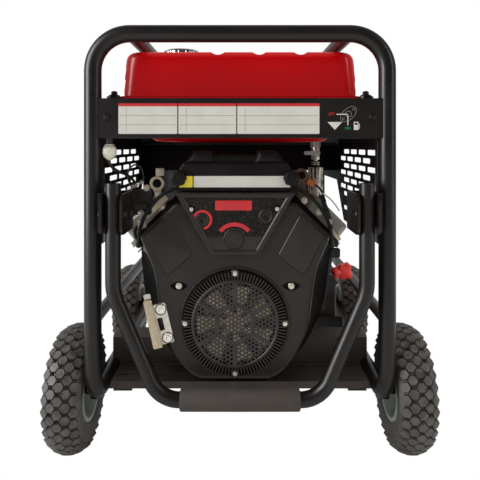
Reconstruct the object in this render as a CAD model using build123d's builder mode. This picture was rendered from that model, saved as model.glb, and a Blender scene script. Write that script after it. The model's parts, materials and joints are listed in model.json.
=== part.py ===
from build123d import *
import math
import os

os.makedirs("parts", exist_ok=True)

# Open-frame portable generator with a V-twin engine on four pneumatic wheels.
# Millimetres. X runs across, +Y from the engine end to the rear, +Z up.
# The origin is on the floor, under the middle of the overall box.
# A setback is a distance behind the plane of the front hoop.

# Clearances
running_gap = 0.05
bolt_gap = 0.3
side_gap = 2.0
panel_gap = 5.0

# Wheels
wheel_d = 258.0
tyre_width = 84.0
tyre_wall = 7.0
tread_depth = 6.0
rim_d = 126.0
rim_width = 62.0
rim_flange = 5.0
axle_d = 20.0
hub_d = 38.0
wheelbase = 585.0
front_axle_setback = 90.0
axle_plate = 5.0
tyre_side_gap = 4.0
tread_blocks = 26

# Frame tubes
tube_d = 34.0
tube_wall = 2.0
frame_width = 580.0
frame_length = 900.0
axle_to_rail = 13.0
hoop_bend_r = 73.0
foot_bend_r = 62.0
top_rail_d = 30.0
top_rail_spacing = 428.0
side_rail_d = 25.0
side_rail_height = 297.0

# Base sheet metal
sheet = 3.0
tray_setback = 76.0
tray_lip = 15.0
riser_setback = 171.0
riser_depth = 69.0
riser_height = 60.0
mount_height = 12.0
mount_d = 38.0
foot_pad = 39.0
foot_pad_drop = 6.0
shelf_setback = 380.0
shelf_lip = 30.0

# Fold-down handle
handle_d = 30.0
handle_wall = 2.0
handle_setback = -26.0
handle_pivot_height = 511.0
handle_stub = 59.0
handle_knee_drop = 151.0
handle_grip_drop = 357.0
handle_grip_corner = 156.0
handle_knee_r = 100.0
handle_grip_r = 60.0
grip_d = 42.0
grip_length = 230.0
bracket_sheet = 5.0
bracket_height = 78.0
bracket_reach = 48.0
bracket_tail = 106.0
bracket_standoff = 7.0
pivot_bolt_d = 10.0

# Engine
crank_x = -10.0
crank_above_base = 69.0
housing_setback = 30.0
housing_depth = 70.0
housing_wall = 3.0
housing_draft = 11.0
fan_opening_r = 94.0
guard_r = 106.0
guard_face_r = 85.0
guard_rise = 13.0
guard_sheet = 2.0
guard_hole = 4.6
guard_pitch = 9.4
guard_slots = 48
crankcase_length = 225.0
crankcase_half = 110.0
deck_radius = 85.0
cylinder_reach = 255.0
cylinder_bore_d = 92.0
fin_size = 124.0
fin_thickness = 3.5
fin_count = 11
cover_height = 46.0
crank_d = 36.0
fan_r = 88.0
fascia_thickness = 9.0
cleaner_bottom = 262.0
cleaner_top = 348.0
cleaner_depth = 170.0
knob_d = 34.0
knob_length = 17.0
knob_half_spacing = 114.0
knob_rise = 291.0
stud_d = 8.0

# Alternator
stator_r = 122.0
stator_length = 265.0
bell_r = 98.0
bell_length = 95.0
bell_foot_height = 8.0
rotor_r = 88.0
stator_wall = 14.0

# Tank and its cradle
tank_air_gap = 17.0
pan_depth = 88.0
pan_width = 410.0
pan_length = 560.0
tank_sheet = 2.0
bush_height = 4.0
tank_width = 482.0
tank_length = 640.0
tank_height = 90.0
tank_draft = 8.0
tank_setback = 40.0
tank_corner_r = 46.0
tank_edge_r = 18.0
tank_top_gap = 13.0
groove_width = 29.0
groove_depth = 7.0
groove_pitch = 86.0
groove_first_x = -46.0
neck_r = 30.0
neck_height = 9.0
cap_d = 84.0
cap_height = 18.0
cap_x = -132.0
cap_setback = 160.0
apron_height = 78.0
apron_sheet = 2.5
apron_front = 13.0
apron_bolt_head = 5.0
ledge_width = 40.0
tank_bolt_x = 257.0
tank_bolt_d = 8.0

# Side guards
guard_sheet_t = 2.0
guard_top_lap = 20.0
guard_low = 208.0
guard_high = 109.0
slot_length = 72.0
slot_height = 11.0
slot_pitch_y = 87.0
slot_pitch_z = 18.0
slot_rows = 9

# Derived frame places
tube_r = tube_d / 2
leg_x = frame_width / 2
axle_z = wheel_d / 2
rail_z = axle_z + axle_to_rail
front_overhang = max(bracket_reach, wheel_d / 2 - front_axle_setback)
rear_overhang = max(tube_r, apron_front + apron_bolt_head)
front_y = (front_overhang - rear_overhang - frame_length) / 2
rear_y = front_y + frame_length
mid_y = front_y + frame_length / 2
wheel_x = leg_x + tube_r + axle_plate + tyre_side_gap + tyre_width / 2

# Derived heights, from the floor up
tray_top = rail_z + sheet
riser_top = tray_top + riser_height
engine_base = riser_top + mount_height
crank_z = engine_base + crank_above_base
pan_bottom = crank_z + cleaner_top + tank_air_gap
tank_flange_z = pan_bottom + pan_depth
deck_z = tank_flange_z - bush_height
tank_base_z = tank_flange_z + 2 * tank_sheet
tank_top_z = tank_base_z + tank_height
frame_top = tank_top_z + tank_top_gap + tube_r
apron_bottom = deck_z - apron_height

# Derived setbacks
crankcase_front = housing_setback + housing_depth
crankcase_back = crankcase_front + crankcase_length
stator_back = crankcase_back + stator_length
bell_back = stator_back + bell_length
bell_foot = stator_back + bell_length / 2
rear_riser_setback = bell_foot - riser_depth / 2
bell_foot_z = crank_z - bell_r - bell_foot_height
rear_riser_top = bell_foot_z - mount_height
tank_middle = tank_setback + tank_length / 2


def y_at(setback):
    return front_y + setback


def facing_front(setback):
    return Plane(origin=(0, y_at(setback), 0), x_dir=(1, 0, 0), z_dir=(0, -1, 0))


def engine_plane(setback):
    return Plane(origin=(crank_x, y_at(setback), crank_z), x_dir=(1, 0, 0), z_dir=(0, -1, 0))


def cylinder_plane(side, reach, setback):
    lean = math.sqrt(0.5)
    origin = (crank_x + side * reach * lean, y_at(setback), crank_z + reach * lean)
    return Plane(origin=origin, x_dir=(side * lean, 0, -lean), z_dir=(side * lean, 0, lean))


def rod_x(radius, x_from, x_to, y, z, mode=Mode.ADD):
    with Locations(((x_from + x_to) / 2, y, z)):
        Cylinder(radius, abs(x_to - x_from), rotation=(0, 90, 0), mode=mode)


def rod_y(radius, setback_from, setback_to, x, z, mode=Mode.ADD):
    with Locations((x, y_at((setback_from + setback_to) / 2), z)):
        Cylinder(radius, abs(setback_to - setback_from), rotation=(90, 0, 0), mode=mode)


def rod_z(radius, z_from, z_to, x, y, mode=Mode.ADD):
    with Locations((x, y, (z_from + z_to) / 2)):
        Cylinder(radius, abs(z_to - z_from), mode=mode)


def block(x_from, x_to, setback_from, setback_to, z_from, z_to, mode=Mode.ADD):
    with Locations(((x_from + x_to) / 2, y_at((setback_from + setback_to) / 2), (z_from + z_to) / 2)):
        Box(abs(x_to - x_from), abs(setback_to - setback_from), abs(z_to - z_from), mode=mode)


def swept_tube(points, radii, outer_r, inner_r=0.0):
    with BuildLine() as path:
        FilletPolyline(*points, radius=radii)
    with BuildSketch(Plane(origin=path.line @ 0, z_dir=path.line % 0)) as section:
        Circle(outer_r)
        if inner_r > 0:
            Circle(inner_r, mode=Mode.SUBTRACT)
    sweep(sections=section.sketch, path=path.line)


def cut_lower_rails():
    for side in (-1, 1):
        rod_y(tube_r, -tube_d, frame_length + tube_d, side * leg_x, rail_z, Mode.SUBTRACT)


def cut_legs():
    for side in (-1, 1):
        for hoop_y in (front_y, rear_y):
            rod_z(tube_r, rail_z, frame_top, side * leg_x, hoop_y, Mode.SUBTRACT)


def save(shape, name):
    shape.label = name
    export_step(shape, "parts/" + name + ".step")


# Hoops: one bent tube each, the legs turned along the floor to meet half way as the lower rails
def hoop_route(hoop_y):
    return [
        (-leg_x, mid_y, rail_z),
        (-leg_x, hoop_y, rail_z),
        (-leg_x, hoop_y, frame_top),
        (leg_x, hoop_y, frame_top),
        (leg_x, hoop_y, rail_z),
        (leg_x, mid_y, rail_z),
    ]


hoop_radii = [foot_bend_r, hoop_bend_r, hoop_bend_r, foot_bend_r]

with BuildPart() as front_hoop:
    swept_tube(hoop_route(front_y), hoop_radii, tube_r, tube_r - tube_wall)
save(front_hoop.part, "front_hoop")

with BuildPart() as rear_hoop:
    swept_tube(hoop_route(rear_y), hoop_radii, tube_r, tube_r - tube_wall)
save(rear_hoop.part, "rear_hoop")

# Top rails run between the hoops just inside their bends, with coped ends
with BuildPart() as top_rails:
    with BuildSketch(facing_front(0)):
        with Locations((-top_rail_spacing / 2, frame_top), (top_rail_spacing / 2, frame_top)):
            Circle(top_rail_d / 2)
            Circle(top_rail_d / 2 - tube_wall, mode=Mode.SUBTRACT)
    extrude(amount=-frame_length)
    for hoop_y in (front_y, rear_y):
        rod_x(tube_r, -leg_x, leg_x, hoop_y, frame_top, Mode.SUBTRACT)
    add(front_hoop.part, mode=Mode.SUBTRACT)
    add(rear_hoop.part, mode=Mode.SUBTRACT)
save(top_rails.part, "top_rails")

# Side rails at half height, coped to the legs
with BuildPart() as side_rails:
    with BuildSketch(facing_front(0)):
        with Locations((-leg_x, side_rail_height), (leg_x, side_rail_height)):
            Circle(side_rail_d / 2)
            Circle(side_rail_d / 2 - tube_wall, mode=Mode.SUBTRACT)
    extrude(amount=-frame_length)
    cut_legs()
save(side_rails.part, "side_rails")

# Front tray: a lipped sheet across the lower rails, under the engine's front
with BuildPart() as front_crossbar:
    with BuildSketch(Plane.YZ.offset(-leg_x)):
        with BuildLine():
            Polyline(
                (y_at(tray_setback), tray_top - tray_lip),
                (y_at(tray_setback), tray_top),
                (y_at(riser_setback + riser_depth), tray_top),
                (y_at(riser_setback + riser_depth), tray_top - sheet),
                (y_at(tray_setback) + sheet, tray_top - sheet),
                (y_at(tray_setback) + sheet, tray_top - tray_lip),
                close=True,
            )
        make_face()
    extrude(amount=2 * leg_x)
    cut_lower_rails()
save(front_crossbar.part, "front_crossbar")


# Risers: inverted channels across the rails that carry the engine and the alternator
def riser_channel(setback, top):
    back = setback + riser_depth
    block(-leg_x, leg_x, setback, back, tray_top, top)
    block(-leg_x, leg_x, setback + sheet, back - sheet, tray_top, top - sheet, Mode.SUBTRACT)
    cut_lower_rails()


with BuildPart() as risers:
    riser_channel(riser_setback, riser_top)
    riser_channel(rear_riser_setback, rear_riser_top)
save(risers.part, "risers")

# Rubber mounts under the engine feet and the alternator foot, and two pads under the front tray
mount_half = crankcase_half - mount_d / 2
with BuildPart() as engine_mounts:
    for middle, low in ((riser_setback + riser_depth / 2, riser_top), (bell_foot, rear_riser_top)):
        for side in (-1, 1):
            rod_z(mount_d / 2, low, low + mount_height, crank_x + side * mount_half, y_at(middle))
    pad_x = leg_x - tube_r - foot_pad / 2 - panel_gap
    for side in (-1, 1):
        with Locations((side * pad_x, y_at(tray_setback) + sheet + foot_pad / 2, 0)):
            with Locations((0, 0, tray_top - tray_lip - foot_pad_drop)):
                Box(
                    foot_pad,
                    foot_pad,
                    tray_lip + foot_pad_drop - sheet,
                    align=(Align.CENTER, Align.CENTER, Align.MIN),
                )

# Tyre: a hollow carcass, with four staggered rows of diamond blocks round the tread
bead_r = rim_d / 2
carcass_r = wheel_d / 2 - tread_depth
shoulder_half = tyre_width / 2 - 6
tyre_bulge_r = (bead_r + carcass_r) / 2


def tyre_section(inset):
    bead_half = rim_width / 2 - inset
    bead_top = bead_r + rim_flange + 1
    with BuildLine() as outline:
        Polyline((-bead_half, bead_top), (-bead_half, bead_r), (bead_half, bead_r), (bead_half, bead_top))
        ThreePointArc(
            (bead_half, bead_top),
            (tyre_width / 2 - inset, tyre_bulge_r),
            (shoulder_half - inset, carcass_r - 5 - inset),
        )
        ThreePointArc(
            (shoulder_half - inset, carcass_r - 5 - inset),
            (0, carcass_r - inset),
            (-shoulder_half + inset, carcass_r - 5 - inset),
        )
        ThreePointArc(
            (-shoulder_half + inset, carcass_r - 5 - inset),
            (-tyre_width / 2 + inset, tyre_bulge_r),
            (-bead_half, bead_top),
        )
    make_face(outline.edges())


block_side = 2 * math.pi * carcass_r / tread_blocks * 0.5
with BuildPart(Plane.YZ) as tyre:
    with BuildSketch(Plane.XY):
        tyre_section(0)
    revolve(axis=Axis.X)
    for row in range(4):
        row_x = (row - 1.5) * (shoulder_half * 2 - 8) / 4
        drop = 5 * (row_x / shoulder_half) ** 2
        with Locations((0, 0, row_x)):
            with PolarLocations(carcass_r - drop, tread_blocks, start_angle=(row % 2) * 180 / tread_blocks):
                Box(2 * tread_depth, block_side, block_side, rotation=(45, 0, 0))
    with BuildSketch(Plane.XY):
        tyre_section(tyre_wall)
    revolve(axis=Axis.X, mode=Mode.SUBTRACT)

# Rim: a pressed barrel with flanges, a dished disc and a hub bored for the axle
hub_half = rim_width / 2 - 2
with BuildPart() as rim:
    with BuildSketch(Plane.XY):
        with BuildLine():
            barrel = bead_r - 3
            Polyline(
                (-rim_width / 2 - 3, bead_r + rim_flange),
                (-rim_width / 2, bead_r + rim_flange),
                (-rim_width / 2, bead_r),
                (rim_width / 2, bead_r),
                (rim_width / 2, bead_r + rim_flange),
                (rim_width / 2 + 3, bead_r + rim_flange),
                (rim_width / 2 + 3, barrel),
                (8, barrel),
                (8, barrel - 6),
                (2, hub_d / 2 + 12),
                (hub_half - 8, hub_d / 2),
                (hub_half, hub_d / 2),
                (hub_half, axle_d / 2 + running_gap),
                (-hub_half, axle_d / 2 + running_gap),
                (-hub_half, hub_d / 2),
                (-3, hub_d / 2 + 10),
                (4, barrel - 6),
                (4, barrel),
                (-rim_width / 2 - 3, barrel),
                close=True,
            )
        make_face()
    revolve(axis=Axis.X)

front_axle_y = y_at(front_axle_setback)
rear_axle_y = front_axle_y + wheelbase
for end_name, axle_y in (("front", front_axle_y), ("rear", rear_axle_y)):
    for side, side_name in ((-1, "left"), (1, "right")):
        place = Location((side * wheel_x, axle_y, axle_z), (0, 0, 0 if side > 0 else 180))
        for piece, piece_name in ((tyre.part, "tyre"), (rim.part, "rim")):
            save(place * piece, end_name + "_" + side_name + "_" + piece_name)

# Stub axles: a plate welded to the outside of the rail with a pin for the wheel
with BuildPart() as stub_axles:
    for axle_y in (front_axle_y, rear_axle_y):
        for side in (-1, 1):
            plate_in = leg_x + tube_r * 0.6
            plate_out = leg_x + tube_r + axle_plate
            with BuildSketch(Plane.YZ.offset(side * plate_out)):
                with Locations((axle_y, axle_z + axle_to_rail / 2)):
                    RectangleRounded(axle_d + 34, axle_d + 32, 10)
            extrude(amount=-side * (plate_out - plate_in))
            rod_x(axle_d / 2 + 6, side * plate_out, side * (wheel_x - hub_half - bolt_gap), axle_y, axle_z)
            rod_x(axle_d / 2, side * plate_out, side * (wheel_x + hub_half + 6), axle_y, axle_z)
    cut_lower_rails()
save(stub_axles.part, "stub_axles")

# Handle brackets: channels welded to the inside of the front legs
handle_r = handle_d / 2
bracket_out = leg_x - tube_r - bracket_standoff
handle_x = bracket_out - bracket_sheet - side_gap - handle_r
bracket_in = handle_x - handle_r - side_gap - bracket_sheet
pivot_y = y_at(handle_setback)
bracket_rear = bracket_tail - bracket_reach
with BuildPart() as handle_brackets:
    for side in (-1, 1):
        low = handle_pivot_height - bracket_height / 2
        high = handle_pivot_height + bracket_height / 2
        block(side * bracket_in, side * bracket_out, -bracket_reach, bracket_rear, low, high)
        block(
            side * (bracket_in + bracket_sheet),
            side * (bracket_out - bracket_sheet),
            -bracket_reach,
            bracket_rear - bracket_sheet,
            low,
            high,
            Mode.SUBTRACT,
        )
    corners = handle_brackets.edges().filter_by(Axis.X)
    fillet(corners.group_by(Axis.Y)[0], 16)
    chamfer(handle_brackets.edges().filter_by(Axis.X).group_by(Axis.Y)[-1], 4)
    for side in (-1, 1):
        block(side * bracket_out, side * leg_x, -tube_r * 0.7, tube_r * 0.7, low, high)
        hole_r = pivot_bolt_d / 2 + bolt_gap
        hole_from, hole_to = side * (bracket_in - 1), side * (bracket_out + 1)
        rod_x(hole_r, hole_from, hole_to, pivot_y, handle_pivot_height, Mode.SUBTRACT)
    cut_legs()
save(handle_brackets.part, "handle_brackets")

# Handle: a bent tube with open ends, hung on two pivot bolts
knee_z = handle_pivot_height - handle_knee_drop
grip_z = handle_pivot_height - handle_grip_drop
handle_route = [
    (-handle_x, pivot_y, handle_pivot_height + handle_stub),
    (-handle_x, pivot_y, knee_z),
    (-handle_grip_corner, pivot_y, grip_z),
    (handle_grip_corner, pivot_y, grip_z),
    (handle_x, pivot_y, knee_z),
    (handle_x, pivot_y, handle_pivot_height + handle_stub),
]
with BuildPart() as handle_tube:
    swept_tube(
        handle_route,
        [handle_knee_r, handle_grip_r, handle_grip_r, handle_knee_r],
        handle_r,
        handle_r - handle_wall,
    )
    for side in (-1, 1):
        rod_x(
            pivot_bolt_d / 2 + running_gap,
            side * (handle_x - handle_d),
            side * (handle_x + handle_d),
            pivot_y,
            handle_pivot_height,
            Mode.SUBTRACT,
        )
save(handle_tube.part, "handle_tube")

with BuildPart() as handle_grip:
    rod_x(grip_d / 2, -grip_length / 2, grip_length / 2, pivot_y, grip_z)
    fillet(handle_grip.edges().filter_by(GeomType.CIRCLE), 4)
    rod_x(handle_r + running_gap, -grip_length, grip_length, pivot_y, grip_z, Mode.SUBTRACT)
save(handle_grip.part, "handle_grip")

# Aprons: a plate across each hoop under the tank, its ends coped to the legs
apron_low_flange = 22.0
apron_bolt_x = leg_x - 30
apron_bolt_z = apron_bottom + apron_height * 0.53
tank_bolt_setbacks = (tank_setback, tank_setback + tank_length)


bolt_hole_r = tank_bolt_d / 2 + bolt_gap


def apron(outward, hoop_setback):
    face = hoop_setback - outward * apron_front
    inner = face + outward * apron_sheet
    deep = face + outward * apron_low_flange
    block(-leg_x, leg_x, face, inner, apron_bottom, deck_z)
    block(-leg_x, leg_x, inner, deep, apron_bottom, apron_bottom + apron_sheet)
    cut_legs()
    for side in (-1, 1):
        rod_y(bolt_hole_r, face - 30, face + 30, side * apron_bolt_x, apron_bolt_z, Mode.SUBTRACT)


with BuildPart() as front_apron:
    apron(1, 0)
save(front_apron.part, "front_apron")

with BuildPart() as rear_apron:
    apron(-1, frame_length)
save(rear_apron.part, "rear_apron")

# Tank side rails: angles between the aprons, with a ledge for the tank and an end tab behind each apron
rail_out = leg_x - tube_r - guard_sheet_t
rail_web_low = apron_bottom + apron_sheet + panel_gap
ledge_in = rail_out - ledge_width
rail_front = apron_sheet - apron_front
rail_back = frame_length - rail_front
with BuildPart() as tank_rails:
    for side in (-1, 1):
        block(side * (rail_out - apron_sheet), side * rail_out, rail_front, rail_back, rail_web_low, deck_z)
        block(side * ledge_in, side * rail_out, rail_front, rail_back, deck_z - apron_sheet, deck_z)
        for tab_from in (rail_front, rail_back - apron_sheet):
            block(side * ledge_in, side * rail_out, tab_from, tab_from + apron_sheet, rail_web_low, deck_z)
        for tab_at in (rail_front, rail_back):
            rod_y(bolt_hole_r, tab_at - 9, tab_at + 9, side * apron_bolt_x, apron_bolt_z, Mode.SUBTRACT)
        for bolt_setback in tank_bolt_setbacks:
            rod_z(bolt_hole_r, deck_z - 9, deck_z + 9, side * tank_bolt_x, y_at(bolt_setback), Mode.SUBTRACT)
save(tank_rails.part, "tank_rails")

# Tank: two pressed shells welded at a flange, with four bolted ears
flange_margin = 9.0
ear_r = 15.0


def tank_flange(low):
    with BuildSketch(Plane.XY.offset(low)) as flange:
        with Locations((0, y_at(tank_middle))):
            flange_length = tank_length + 2 * flange_margin
            RectangleRounded(tank_width + 2 * flange_margin, flange_length, tank_corner_r / 2)
        for side in (-1, 1):
            for bolt_setback in tank_bolt_setbacks:
                with Locations((side * tank_bolt_x, y_at(bolt_setback))):
                    Circle(ear_r)
    extrude(flange.sketch, amount=tank_sheet)


def tank_bolt_holes():
    for side in (-1, 1):
        for bolt_setback in tank_bolt_setbacks:
            rod_z(
                tank_bolt_d / 2 + bolt_gap,
                tank_flange_z - 5,
                tank_base_z + 5,
                side * tank_bolt_x,
                y_at(bolt_setback),
                Mode.SUBTRACT,
            )


groove_r = (groove_width**2 / 4 + groove_depth**2) / (2 * groove_depth)
with BuildPart() as tank_shell:
    with BuildSketch(Plane.XY.offset(tank_base_z)):
        with Locations((0, y_at(tank_middle))):
            RectangleRounded(tank_width, tank_length, tank_corner_r)
    extrude(amount=tank_height, taper=tank_draft)
    fillet(tank_shell.edges().group_by(Axis.Z)[-1], tank_edge_r)
    for step in range(3):
        groove_x = groove_first_x + step * groove_pitch
        rod_y(
            groove_r,
            tank_setback - 5,
            tank_setback + tank_length + 5,
            groove_x,
            tank_top_z - groove_depth + groove_r,
            Mode.SUBTRACT,
        )
    tank_flange(tank_flange_z + tank_sheet)
    with BuildSketch(Plane.XY.offset(tank_flange_z + tank_sheet)):
        with Locations((0, y_at(tank_middle))):
            RectangleRounded(tank_width - 4 * tank_sheet, tank_length - 4 * tank_sheet, tank_corner_r)
    extrude(amount=tank_height - tank_sheet - groove_depth, taper=tank_draft, mode=Mode.SUBTRACT)
    cap_y = y_at(cap_setback)
    rod_z(neck_r, tank_top_z - groove_depth - tank_sheet, tank_top_z + neck_height, cap_x, cap_y)
    rod_z(neck_r - tank_sheet, tank_top_z - 40, tank_top_z + neck_height, cap_x, cap_y, Mode.SUBTRACT)
    tank_bolt_holes()
save(tank_shell.part, "tank_shell")

with BuildPart() as tank_pan:
    with BuildSketch(Plane.XY.offset(tank_flange_z)):
        with Locations((0, y_at(tank_middle))):
            RectangleRounded(pan_width, pan_length, tank_corner_r)
    extrude(amount=-pan_depth, taper=tank_draft)
    fillet(tank_pan.edges().group_by(Axis.Z)[0], tank_edge_r)
    tank_flange(tank_flange_z)
    with BuildSketch(Plane.XY.offset(tank_flange_z + tank_sheet)):
        with Locations((0, y_at(tank_middle))):
            RectangleRounded(pan_width - 2 * tank_sheet, pan_length - 2 * tank_sheet, tank_corner_r)
    extrude(amount=-(pan_depth - tank_edge_r), taper=tank_draft, mode=Mode.SUBTRACT)
    tank_bolt_holes()
save(tank_pan.part, "tank_pan")

with BuildPart() as rubber_mounts:
    add(engine_mounts.part)
    for side in (-1, 1):
        for bolt_setback in tank_bolt_setbacks:
            bush_y = y_at(bolt_setback)
            rod_z(ear_r - 2, deck_z, tank_flange_z, side * tank_bolt_x, bush_y)
            rod_z(bolt_hole_r, deck_z, tank_flange_z, side * tank_bolt_x, bush_y, Mode.SUBTRACT)
save(rubber_mounts.part, "rubber_mounts")

# Fuel cap: a ribbed cover over the neck, with a plug inside it
cap_low = tank_top_z + side_gap
cap_top = tank_top_z + neck_height + cap_height
with BuildPart() as fuel_cap:
    rod_z(cap_d / 2, cap_low, cap_top, cap_x, cap_y)
    fillet(fuel_cap.edges().group_by(Axis.Z)[-1], 5)
    rod_z(neck_r + 1, cap_low, tank_top_z + neck_height + 0.3, cap_x, cap_y, Mode.SUBTRACT)
    rod_z(neck_r - tank_sheet - 0.5, tank_top_z - 4, tank_top_z + neck_height + 1, cap_x, cap_y)
    with Locations((cap_x, cap_y, (cap_low + cap_top) / 2 - 3)):
        with PolarLocations(cap_d / 2 + 0.6, 36):
            Cylinder(1.6, cap_top - cap_low, mode=Mode.SUBTRACT)
save(fuel_cap.part, "fuel_cap")


# Guards: slotted sheets hung on the outside of the tank rails
def guard_outline(front, back, slant_high, slant_low):
    top = deck_z - apron_height + guard_top_lap
    low = deck_z - apron_height - guard_low
    high = deck_z - apron_height - guard_high
    with BuildLine() as outline:
        Polyline(
            (y_at(front), top),
            (y_at(back), top),
            (y_at(back), high),
            (y_at(slant_high), high),
            (y_at(slant_low), low),
            (y_at(front), low),
            close=True,
        )
    make_face(outline.edges())


guard_front = tube_r + panel_gap / 2
slant_high = 452.0
slant_low = 349.0
first_slot = 40.0
panel_front = slant_high + 2 * panel_gap
for side, side_name in ((-1, "left"), (1, "right")):
    guard_back = frame_length - guard_front if side > 0 else panel_front
    with BuildPart() as side_guard:
        with BuildSketch(Plane.YZ.offset(side * rail_out)):
            guard_outline(guard_front, guard_back, slant_high, slant_low)
            slope = (slant_high - slant_low) / (guard_low - guard_high)
            slots = []
            for row in range(slot_rows):
                row_z = apron_bottom - 29 - row * slot_pitch_z
                reach = slant_high - 40
                drop_past = (apron_bottom - guard_high) - (row_z - slot_height)
                if drop_past > 0:
                    reach = slant_high - drop_past * slope - 12
                start = first_slot + slot_length / 2 + (row % 2) * slot_pitch_y / 2 - slot_pitch_y / 4
                count = int((reach - slot_length / 2 - start) // slot_pitch_y) + 1
                slots += [(y_at(start + column * slot_pitch_y), row_z) for column in range(count)]
            with Locations(*slots):
                RectangleRounded(slot_length, slot_height, 4, mode=Mode.SUBTRACT)
        extrude(amount=side * guard_sheet_t)
    save(side_guard.part, side_name + "_side_guard")

# Crankcase: a casting with two 45-degree decks, its sump between the feet
shaft_hole = crank_d / 2 + running_gap
deck_half = fin_size / 2 - 7
lean = math.sqrt(0.5)
deck_low = ((deck_radius + deck_half) * lean, (deck_radius - deck_half) * lean)
deck_high = ((deck_radius - deck_half) * lean, (deck_radius + deck_half) * lean)
with BuildPart() as crankcase:
    with BuildSketch(engine_plane(crankcase_front)):
        with BuildLine():
            FilletPolyline(
                (0, -crank_above_base),
                (crankcase_half, -crank_above_base),
                (crankcase_half, deck_low[1] - 12),
                deck_low,
                deck_high,
                (0, deck_high[1]),
                radius=[8, 4, 1, 1],
            )
            mirror(about=Plane.YZ)
        make_face()
    extrude(amount=-crankcase_length)
    rod_y(shaft_hole, crankcase_front - 1, crankcase_back + 1, crank_x, crank_z, Mode.SUBTRACT)
save(crankcase.part, "crankcase")

# Cylinders: square finned barrels with heads, seated on the decks
cylinder_front = crankcase_front + panel_gap
cylinder_middle = cylinder_front + fin_size / 2
fin_pitch = (cylinder_reach - deck_radius - fin_thickness) / fin_count
with BuildPart() as cylinders:
    for side in (-1, 1):
        with BuildSketch(cylinder_plane(side, deck_radius, cylinder_middle)):
            RectangleRounded(cylinder_bore_d + 8, cylinder_bore_d + 8, 20)
        extrude(amount=cylinder_reach - deck_radius)
        for fin in range(1, fin_count + 1):
            with BuildSketch(cylinder_plane(side, deck_radius + fin * fin_pitch, cylinder_middle)):
                RectangleRounded(fin_size, fin_size, 10)
            extrude(amount=fin_thickness)
save(cylinders.part, "cylinders")

cover_flange = 8.0
with BuildPart() as valve_covers:
    for side in (-1, 1):
        with BuildSketch(cylinder_plane(side, cylinder_reach, cylinder_middle)):
            RectangleRounded(fin_size, fin_size - 8, 14)
        extrude(amount=cover_flange)
        with BuildSketch(cylinder_plane(side, cylinder_reach + cover_flange, cylinder_middle)):
            RectangleRounded(fin_size - 16, fin_size - 24, 18)
        extrude(amount=cover_height - cover_flange, taper=6)
        top_edges = valve_covers.faces().sort_by(Axis((0, 0, 0), (side, 0, 1)))[-1].edges()
        fillet(top_edges, 8)
save(valve_covers.part, "valve_covers")

# Blower housing: a drafted shield over the flywheel, open behind, with a round air inlet
housing_half = [
    (0, 256),
    (127, 256),
    (193, 172),
    (192, 130),
    (186, 20),
    (170, -30),
    (142, -77),
    (102, -117),
    (74, -127),
    (0, -127),
]
housing_radii = [16, 18, 60, 60, 40, 40, 30, 20]


def housing_outline(inset):
    with BuildLine() as outline:
        FilletPolyline(*housing_half, radius=housing_radii)
        mirror(about=Plane.YZ)
    make_face(outline.edges())
    if inset > 0:
        offset(amount=-inset, mode=Mode.REPLACE)


eye_x = 114.0
eye_z = 72.0
lug_places = ((-150, 26), (-136, -31))
guard_screw_r = (fan_opening_r + guard_r) / 2
guard_screw_places = ((0, guard_screw_r), (guard_screw_r, 0), (0, -guard_screw_r), (-guard_screw_r, 0))
with BuildPart() as blower_housing:
    with BuildSketch(engine_plane(crankcase_front)):
        housing_outline(0)
    extrude(amount=housing_depth, taper=housing_draft)
    with BuildSketch(engine_plane(crankcase_front)):
        housing_outline(housing_wall)
    extrude(amount=housing_depth - housing_wall, taper=housing_draft, mode=Mode.SUBTRACT)
    with BuildSketch(engine_plane(housing_setback)):
        Circle(guard_r + 6)
    extrude(amount=3)
    rod_y(fan_opening_r, housing_setback - 9, housing_setback + 9, crank_x, crank_z, Mode.SUBTRACT)
    with BuildSketch(engine_plane(housing_setback)):
        for side in (-1, 1):
            with BuildLine():
                Polyline(
                    (side * 88, 205),
                    (side * 142, 138),
                    (side * 130, 108),
                    (side * 70, 160),
                    close=True,
                )
            make_face()
    extrude(amount=-housing_wall / 2, mode=Mode.SUBTRACT)
    for side in (-1, 1):
        rod_y(9, housing_setback + 1, cylinder_front, crank_x + side * eye_x, crank_z + eye_z)
        hole_from, hole_to = housing_setback - 9, housing_setback + 20
        rod_y(4, hole_from, hole_to, crank_x + side * eye_x, crank_z + eye_z, Mode.SUBTRACT)
    for lug_x, lug_z in lug_places:
        rod_y(11, housing_setback, housing_setback + 40, crank_x + lug_x, crank_z + lug_z)
        rod_y(4.3, housing_setback - 1, housing_setback + 20, crank_x + lug_x, crank_z + lug_z, Mode.SUBTRACT)
    for screw_x, screw_z in guard_screw_places:
        hole_from, hole_to = housing_setback - 9, housing_setback + 9
        rod_y(2.8, hole_from, hole_to, crank_x + screw_x, crank_z + screw_z, Mode.SUBTRACT)
save(blower_housing.part, "blower_housing")

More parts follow.
